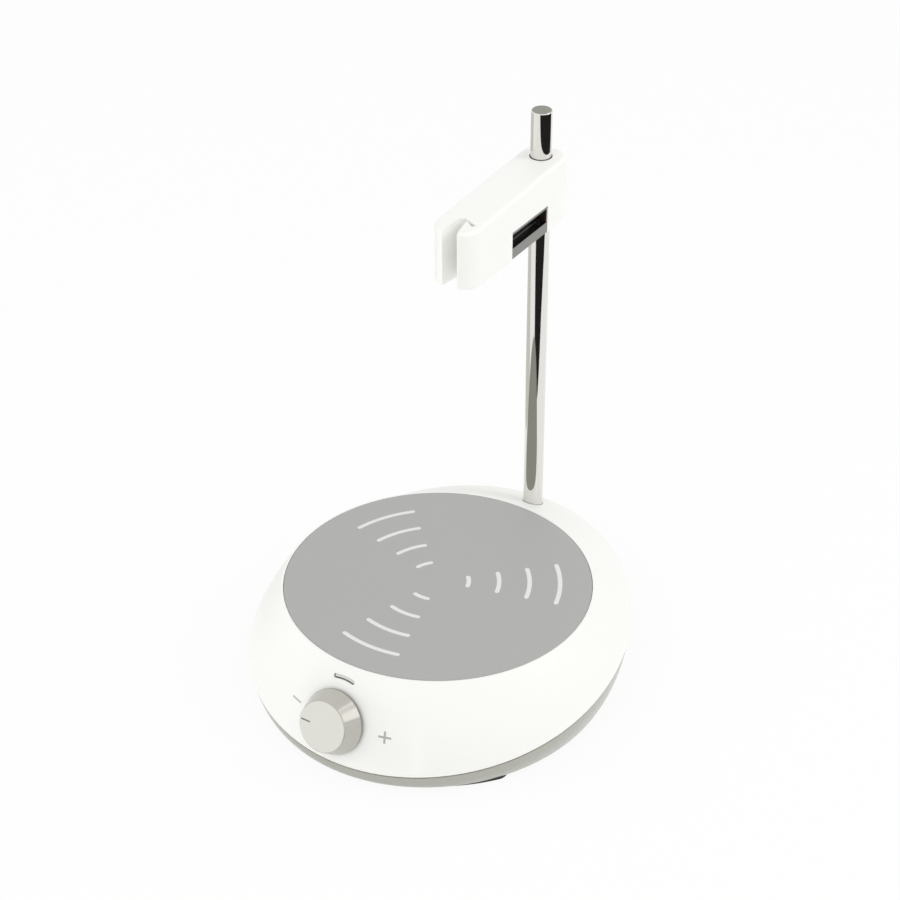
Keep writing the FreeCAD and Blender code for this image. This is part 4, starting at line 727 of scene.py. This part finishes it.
@dataclass
class RodAndHolder(SubAssembly):
    """Support rod, and the probe holder that slides and turns on it."""

    finishes: dict[str, Finish] = field(default_factory=lambda: {
        "support_rod": CHROME, "rod_bush_upper": ACETAL, "rod_bush_lower": ACETAL, "probe_arm": WHITE_ABS,
        "arm_cover": WHITE_ABS, "cover_screws": ZINC, "release_spring": GROUND_STEEL, "release_bar": BAR_ABS})
    cover_screw_at_mm: tuple[Pair, ...] = ((-5.4, -19.0), (0.0, -59.0))
    cover_screw_mm: ScrewSize = (2.1, 1.0, 1.1, 7.0)
    recess_back_mm: float = 6.3
    band_height_mm: float = 5.5
    fillet_mm: float = 0.4
    fillet_share: float = 0.94
    fillet_steps: int = 5
    fillet_profile: float = 0.2
    recess_start_mm: float = -46.9
    back_end_mm: float = -19.3
    recess_end_mm: float = -13.5
    lining_mm: float = 0.5
    lining_height_mm: float = 7.1
    lining_depth_mm: float = 4.3
    lining_gap_mm: float = 0.05
    lining_round_mm: float = 0.08
    # Lip round the rod where it leaves the arm, dark acetal that also stands as painted shade of the gap there: its
    # radii, height, rounding and sides.
    shade_lip_radii_mm: Pair = (5.06, 5.45)
    shade_lip_height_mm: float = 0.25
    shade_lip_round_mm: float = 0.06
    shade_lip_sides: int = 64
    round_steps: int = 2
    arm_top_mm: float = 244.9
    coil_radius_mm: float = 2.6
    wire_radius_mm: float = 0.35
    wire_sides: int = 12
    coil_turns: int = 4
    coil_turn_steps: int = 32
    coil_ends_mm: Pair = (-8.6, 1.6)
    coil_along_mm: float = -30.0
    coil_rise_mm: float = 6.15
    press_mm: float = 1.6

    def place(self) -> Matrix:
        """Return the arm's frame: rod axis at the origin, arm along minus Y."""
        return Matrix.Translation(Vector((0, ROD_Y, 0)) * MM) @ Matrix.Rotation(ARM_TURN, 4, "Z")

    def underside(self, y_mm: float) -> float:
        """Return the height of the arm's sloping underside at a place along it, in millimetres."""
        return ARM_BOTTOM - ARM_SLOPE * y_mm

    def recess_fillet(self) -> None:
        """Model the rounded inner corner of the release bar's recess, lighter than the bar as a painted highlight."""
        size = self.fillet_mm * MM
        length = (self.recess_end_mm - self.recess_start_mm) * MM
        along = (self.recess_end_mm + self.recess_start_mm) / 2
        corner = (0.5 - NEAR) * size
        fillet = begin("bar_recess_fillet", bpy.ops.mesh.primitive_cube_add, size=1.0, scale=(size, length, size))
        bpy.ops.object.transform_apply(scale=True)
        with picked(fillet, Pick.EDGES, lambda middle, normal: middle.x > corner and middle.z > corner):
            bpy.ops.mesh.bevel(offset=self.fillet_share * size, segments=self.fillet_steps,
                               profile=self.fillet_profile)
        height = self.underside(along) + self.band_height_mm + self.fillet_mm / 2
        seat = Matrix.Translation(Vector((self.recess_back_mm + self.fillet_mm / 2, along, height)) * MM)
        fillet.matrix_world = self.place() @ seat @ Matrix.Rotation(-math.atan(ARM_SLOPE), 4, "X")
        settle(fillet, FILLET_HIGHLIGHT_ABS, "button", "bar")

    def recess_lining(self) -> None:
        """Model the L-shaped wall that closes the recess towards the rod: back and end, dark brown as a painted
        reflection of the rod.
        """
        wall = self.lining_mm * MM
        length = (self.recess_end_mm - self.back_end_mm) * MM
        height = self.lining_height_mm * MM
        lining = begin("bar_recess_lining", bpy.ops.mesh.primitive_cube_add, size=1.0, scale=(wall, wall, height))
        bpy.ops.object.transform_apply(scale=True)
        with picked(lining, Pick.FACES, lambda middle, normal: normal.y < -FACING):
            bpy.ops.mesh.extrude_region_move(TRANSFORM_OT_translate={"value": (0, wall - length, 0)})
        with picked(lining, Pick.FACES, lambda middle, normal: normal.x > FACING and middle.y > (NEAR - 0.5) * wall):
            bpy.ops.mesh.extrude_region_move(TRANSFORM_OT_translate={"value": (self.lining_depth_mm * MM, 0, 0)})
        modify(lining, "BEVEL", width=self.lining_round_mm * MM, segments=self.round_steps, limit_method="ANGLE")
        end = self.recess_end_mm - self.lining_mm / 2
        rise = self.underside(end) + self.band_height_mm + self.lining_height_mm / 2 + self.lining_gap_mm
        seat = Matrix.Translation(Vector((self.recess_back_mm - self.lining_mm / 2, end, rise)) * MM)
        lining.matrix_world = self.place() @ seat @ Matrix.Rotation(-math.atan(ARM_SLOPE), 4, "X")
        settle(lining, BROWN_REFLECTION_ABS, "button", "bar")

    def rod_shade_lip(self) -> None:
        """Model the dark lip of the upper bush where the rod leaves the arm, dark as painted shade of the gap round
        the rod.
        """
        inner, outer = (radius * MM for radius in self.shade_lip_radii_mm)
        shade_lip = begin("rod_shade_lip", bpy.ops.mesh.primitive_circle_add, vertices=self.shade_lip_sides, radius=outer,
                     fill_type="NGON")
        with picked(shade_lip, Pick.FACES, everything):
            bpy.ops.mesh.inset(thickness=outer - inner)
            bpy.ops.mesh.delete(type="FACE")
        modify(shade_lip, "SOLIDIFY", thickness=self.shade_lip_height_mm * MM, offset=0.0)
        modify(shade_lip, "BEVEL", width=self.shade_lip_round_mm * MM, segments=self.round_steps, limit_method="ANGLE")
        shade_lip.location = Vector((0, ROD_Y, self.arm_top_mm)) * MM
        settle(shade_lip, ACETAL, "arm", "bushes")

    def release_coil(self) -> None:
        """Wind the spring between the arm's wall and the release bar."""
        start, end = self.coil_ends_mm
        coil = begin("release_coil", bpy.ops.mesh.primitive_circle_add, vertices=self.wire_sides,
                     radius=self.wire_radius_mm * MM, rotation=(QUARTER_TURN, 0, 0),
                     location=(self.coil_radius_mm * MM, 0, 0))
        bpy.ops.object.transform_apply(location=True, rotation=True)
        modify(coil, "SCREW", axis="Z", iterations=self.coil_turns, screw_offset=(end - start) / self.coil_turns * MM,
               steps=self.coil_turn_steps, render_steps=self.coil_turn_steps)
        with picked(coil, Pick.FACES, everything):
            bpy.ops.mesh.fill_holes(sides=0)
            bpy.ops.mesh.normals_make_consistent()
        height = self.underside(self.coil_along_mm) + self.coil_rise_mm
        seat = Matrix.Translation(Vector((start, self.coil_along_mm, height)) * MM)
        coil.matrix_world = self.place() @ seat @ Matrix.Rotation(QUARTER_TURN, 4, "Y")
        settle(coil, GROUND_STEEL, "arm", "spring", "release_spring")
        wall = start - self.wire_radius_mm
        tuple(self.place() @ (Vector((wall, self.coil_along_mm, height)) * MM))
        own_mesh(coil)

    def build(self) -> None:
        """Model the spring, the cover's screws, the dark lip round the rod as painted shade, and the lining of the
        release bar's recess.
        """
        seats = []
        for x, y in self.cover_screw_at_mm:
            seat = self.place() @ (Vector((x, y, self.underside(y))) * MM)
            seats.append(tuple(seat / MM))
        CrossScrews("cross_cover_screws", "cover_screws", "arm", seats, *self.cover_screw_mm).build()
        self.recess_fillet()
        self.recess_lining()
        self.rod_shade_lip()
        self.release_coil()


@dataclass(frozen=True)
class Lamp:
    """Soft square lamp that shows in no reflection: its place and size in metres, its power in watts."""

    name: str
    place: Triple
    size: float
    power: float

    def build(self, aim: Triple) -> None:
        """Hang the lamp and turn it to what it lights.

        Args:
            aim: Point that the lamp faces, in metres.
        """
        lamp = bpy.data.lights.new(self.name, "AREA")
        lamp.size = self.size
        lamp.energy = self.power
        stand = bpy.data.objects.new(self.name, lamp)
        stand.location = self.place
        stand.visible_glossy = False
        stand.rotation_euler = (Vector(aim) - Vector(self.place)).to_track_quat("-Z", "Y").to_euler()
        bpy.context.scene.collection.objects.link(stand)


@dataclass(frozen=True)
class Card:
    """Flat card that only shows in reflections, and not from behind where it is one-sided."""

    name: str
    corners_mm: list[Triple]
    colour: str
    strength: float = 1.0
    one_sided: bool = False

    def build(self) -> None:
        """Set up the card and keep it out of everything but reflections."""
        mesh = bpy.data.meshes.new(self.name)
        points = [Vector(corner) * MM for corner in self.corners_mm]
        mesh.from_pydata(points, [], [list(range(len(points)))])
        card = bpy.data.objects.new(self.name, mesh)
        bpy.context.scene.collection.objects.link(card)
        material = empty_material(self.name)
        tree = material.node_tree
        shader = add_node(tree, "ShaderNodeEmission",
                          values={"Color": linear(self.colour), "Strength": self.strength})
        if self.one_sided:
            back = add_node(tree, "ShaderNodeNewGeometry").outputs["Backfacing"]
            clear = add_node(tree, "ShaderNodeBsdfTransparent")
            shader = add_node(tree, "ShaderNodeMixShader", {0: back, 1: shader.outputs[0], 2: clear.outputs[0]})
        add_node(tree, "ShaderNodeOutputMaterial", {"Surface": shader.outputs[0]})
        mesh.materials.append(material)
        card.visible_camera = False
        card.visible_diffuse = False
        card.visible_shadow = False
        card.visible_transmission = False


@dataclass
class Studio:
    """White floor, soft light and the camera of the photograph.

    Lengths are in metres, or in millimetres where the name says so.
    """

    camera_at: Triple = (0.4562, -0.6944, 0.6865)
    forward: Triple = (-0.4513, 0.6979, -0.5562)
    right: Triple = (0.8406, 0.5417, -0.0023)
    lens_mm: float = 85.70
    sensor_mm: float = 36.0
    nearest: float = 0.01
    floor_half: float = 3.0
    floor_paper: str = "#F7F7F5"
    floor_white: float = 0.92
    sky: float = 0.82
    lamps: tuple[Lamp, ...] = (
        Lamp("key", (0.62, 0.30, 0.66), 0.22, 1.2),
        Lamp("front_fill", (0.15, -1.10, 0.90), 0.70, 2.2),
        Lamp("left_fill", (-0.95, -0.55, 0.06), 0.40, 1.8))
    lit_point: Triple = (0.0, 0.0, 0.08)
    floor_card_mm: float = 0.2
    plate_card_radius_mm: float = 77.3
    plate_card_at_mm: Triple = (0.0, 2.3, 54.3)
    plate_card_sides: int = 64

    def camera(self) -> None:
        """Set the camera where the photograph was taken from."""
        ahead = Vector(self.forward).normalized()
        across = Vector(self.right)
        across = (across - ahead * across.dot(ahead)).normalized()
        data = bpy.data.cameras.new("camera")
        data.lens = self.lens_mm
        data.sensor_width = self.sensor_mm
        data.clip_start = self.nearest
        seat = bpy.data.objects.new("camera", data)
        turn = Matrix((across, across.cross(ahead), -ahead)).transposed().to_4x4()
        seat.matrix_world = Matrix.Translation(self.camera_at) @ turn
        bpy.context.scene.collection.objects.link(seat)
        bpy.context.scene.camera = seat

    def shown(self, tree: bpy.types.NodeTree, share: float) -> bpy.types.NodeSocket:
        """Add the nodes that tell rays from the camera, and those mirrored or let through, from the rest.

        Args:
            tree: Node tree of the floor or the world.
            share: Value for those rays; the others get zero.

        Returns:
            The value for each ray.
        """
        path = add_node(tree, "ShaderNodeLightPath").outputs
        seen = path["Is Camera Ray"]
        for name in ("Is Glossy Ray", "Is Transmission Ray"):
            seen = add_node(tree, "ShaderNodeMath", {0: seen, 1: path[name]}, operation="MAXIMUM").outputs[0]
        return add_node(tree, "ShaderNodeMath", {0: seen}, {1: share}, operation="MULTIPLY").outputs[0]

    def floor(self) -> None:
        """Lay a pale floor that shows white and keeps a faint shadow."""
        ground = begin("floor", bpy.ops.mesh.primitive_plane_add, size=2 * self.floor_half)
        material = empty_material("white_paper_floor")
        tree = material.node_tree
        paper = add_node(tree, "ShaderNodeBsdfDiffuse", values={"Color": linear(self.floor_paper)})
        white = add_node(tree, "ShaderNodeEmission", values={"Color": linear(WHITE), "Strength": 1.0})
        both = add_node(tree, "ShaderNodeMixShader", {0: self.shown(tree, self.floor_white), 1: paper.outputs[0],
                                                      2: white.outputs[0]})
        add_node(tree, "ShaderNodeOutputMaterial", {"Surface": both.outputs[0]})
        ground.data.materials.append(material)

    def lights(self) -> None:
        """Light the world evenly and hang the lamps."""
        world = bpy.data.worlds.new("studio")
        world.use_nodes = True
        tree = world.node_tree
        tree.nodes.clear()
        lit = add_node(tree, "ShaderNodeBackground", values={"Color": linear(WHITE), "Strength": self.sky})
        white = add_node(tree, "ShaderNodeBackground", values={"Color": linear(WHITE), "Strength": 1.0})
        both = add_node(tree, "ShaderNodeMixShader", {0: self.shown(tree, 1.0), 1: lit.outputs[0],
                                                      2: white.outputs[0]})
        add_node(tree, "ShaderNodeOutputWorld", {"Surface": both.outputs[0]})
        bpy.context.scene.world = world
        for lamp in self.lamps:
            lamp.build(self.lit_point)

    def flat_cards(self) -> None:
        """Lay the cards that the rod mirrors, with their corners in millimetres."""
        low = self.floor_card_mm
        # The dark streak down the rod's right half.
        dark = [(50, -128), (-10, -260), (-200, -1200), (1500, -1200), (1500, 900), (300, 900), (296, 545),
                (430, 330), (400, 150), (365, 114), (339, 74), (279, 20), (225, 5), (150, -20)]
        Card("dark_card", [(x, y, low) for x, y in dark], "#262424").build()
        # The light grey strip along the rod's left side.
        grey = [(-130, -60), (-160, 200), (-60, 320), (-200, 900), (-1200, 900), (-1200, -300)]
        Card("grey_card", [(x, y, low) for x, y in grey], "#D6D5CF").build()
        # The vessel plate as the rod mirrors it, which reaches a little nearer to the rod than the plate does.
        middle = Vector(self.plate_card_at_mm)
        turns = [math.tau * i / self.plate_card_sides for i in range(self.plate_card_sides)]
        disc = [Vector((math.cos(turn), math.sin(turn), 0)) for turn in turns]
        Card("plate_card", [tuple(middle + way * self.plate_card_radius_mm) for way in disc], "#95958E",
             one_sided=True).build()

    def standing_cards(self) -> None:
        """Stand up the cards that the knob mirrors, with their corners in millimetres."""
        # The bright wedge on the knob's skirt, the dark line under it, and the brightest spot.
        Card("bright_strip", [(786, 76, 280), (736, 228, 280), (535, 362, 643), (625, 230, 643)], WHITE, 3.4).build()
        Card("dark_strip", [(790, 70, 215), (735, 232, 215), (736, 228, 272), (786, 76, 272)], "#3A3A38").build()
        Card("bright_patch", [(385, 315, 715), (325, 365, 715), (325, 365, 765), (385, 315, 765)], WHITE, 5.0).build()
        # The ramp from the wedge to the grey above it.
        Card("pale_strip", [(539, 263, 709), (535, 391, 631), (303, 445, 732), (307, 317, 810)], WHITE, 1.9).build()
        # The even tone of the skirt's lower right, which would mirror the dark card without it.
        Card("pale_flag", [(45, -99, 8), (45, -99, 34), (45, -82, 34), (45, -82, 8)], "#F4F4F2",
             one_sided=True).build()

    def build(self) -> None:
        """Set the view transform and build the studio."""
        bpy.context.scene.view_settings.view_transform = "Standard"
        self.camera()
        self.floor()
        self.lights()
        self.flat_cards()
        self.standing_cards()


def main() -> None:
    """Build the studio and the sub-assemblies."""
    logging.basicConfig(level=logging.INFO, format="%(name)s: %(message)s")
    Studio().build()
    for assembly in (BaseUnit(), ControlPanel(), StirDrive(), RodAndHolder()):
        assembly.dress()
        assembly.build()


if __name__ == "__main__":
    main()
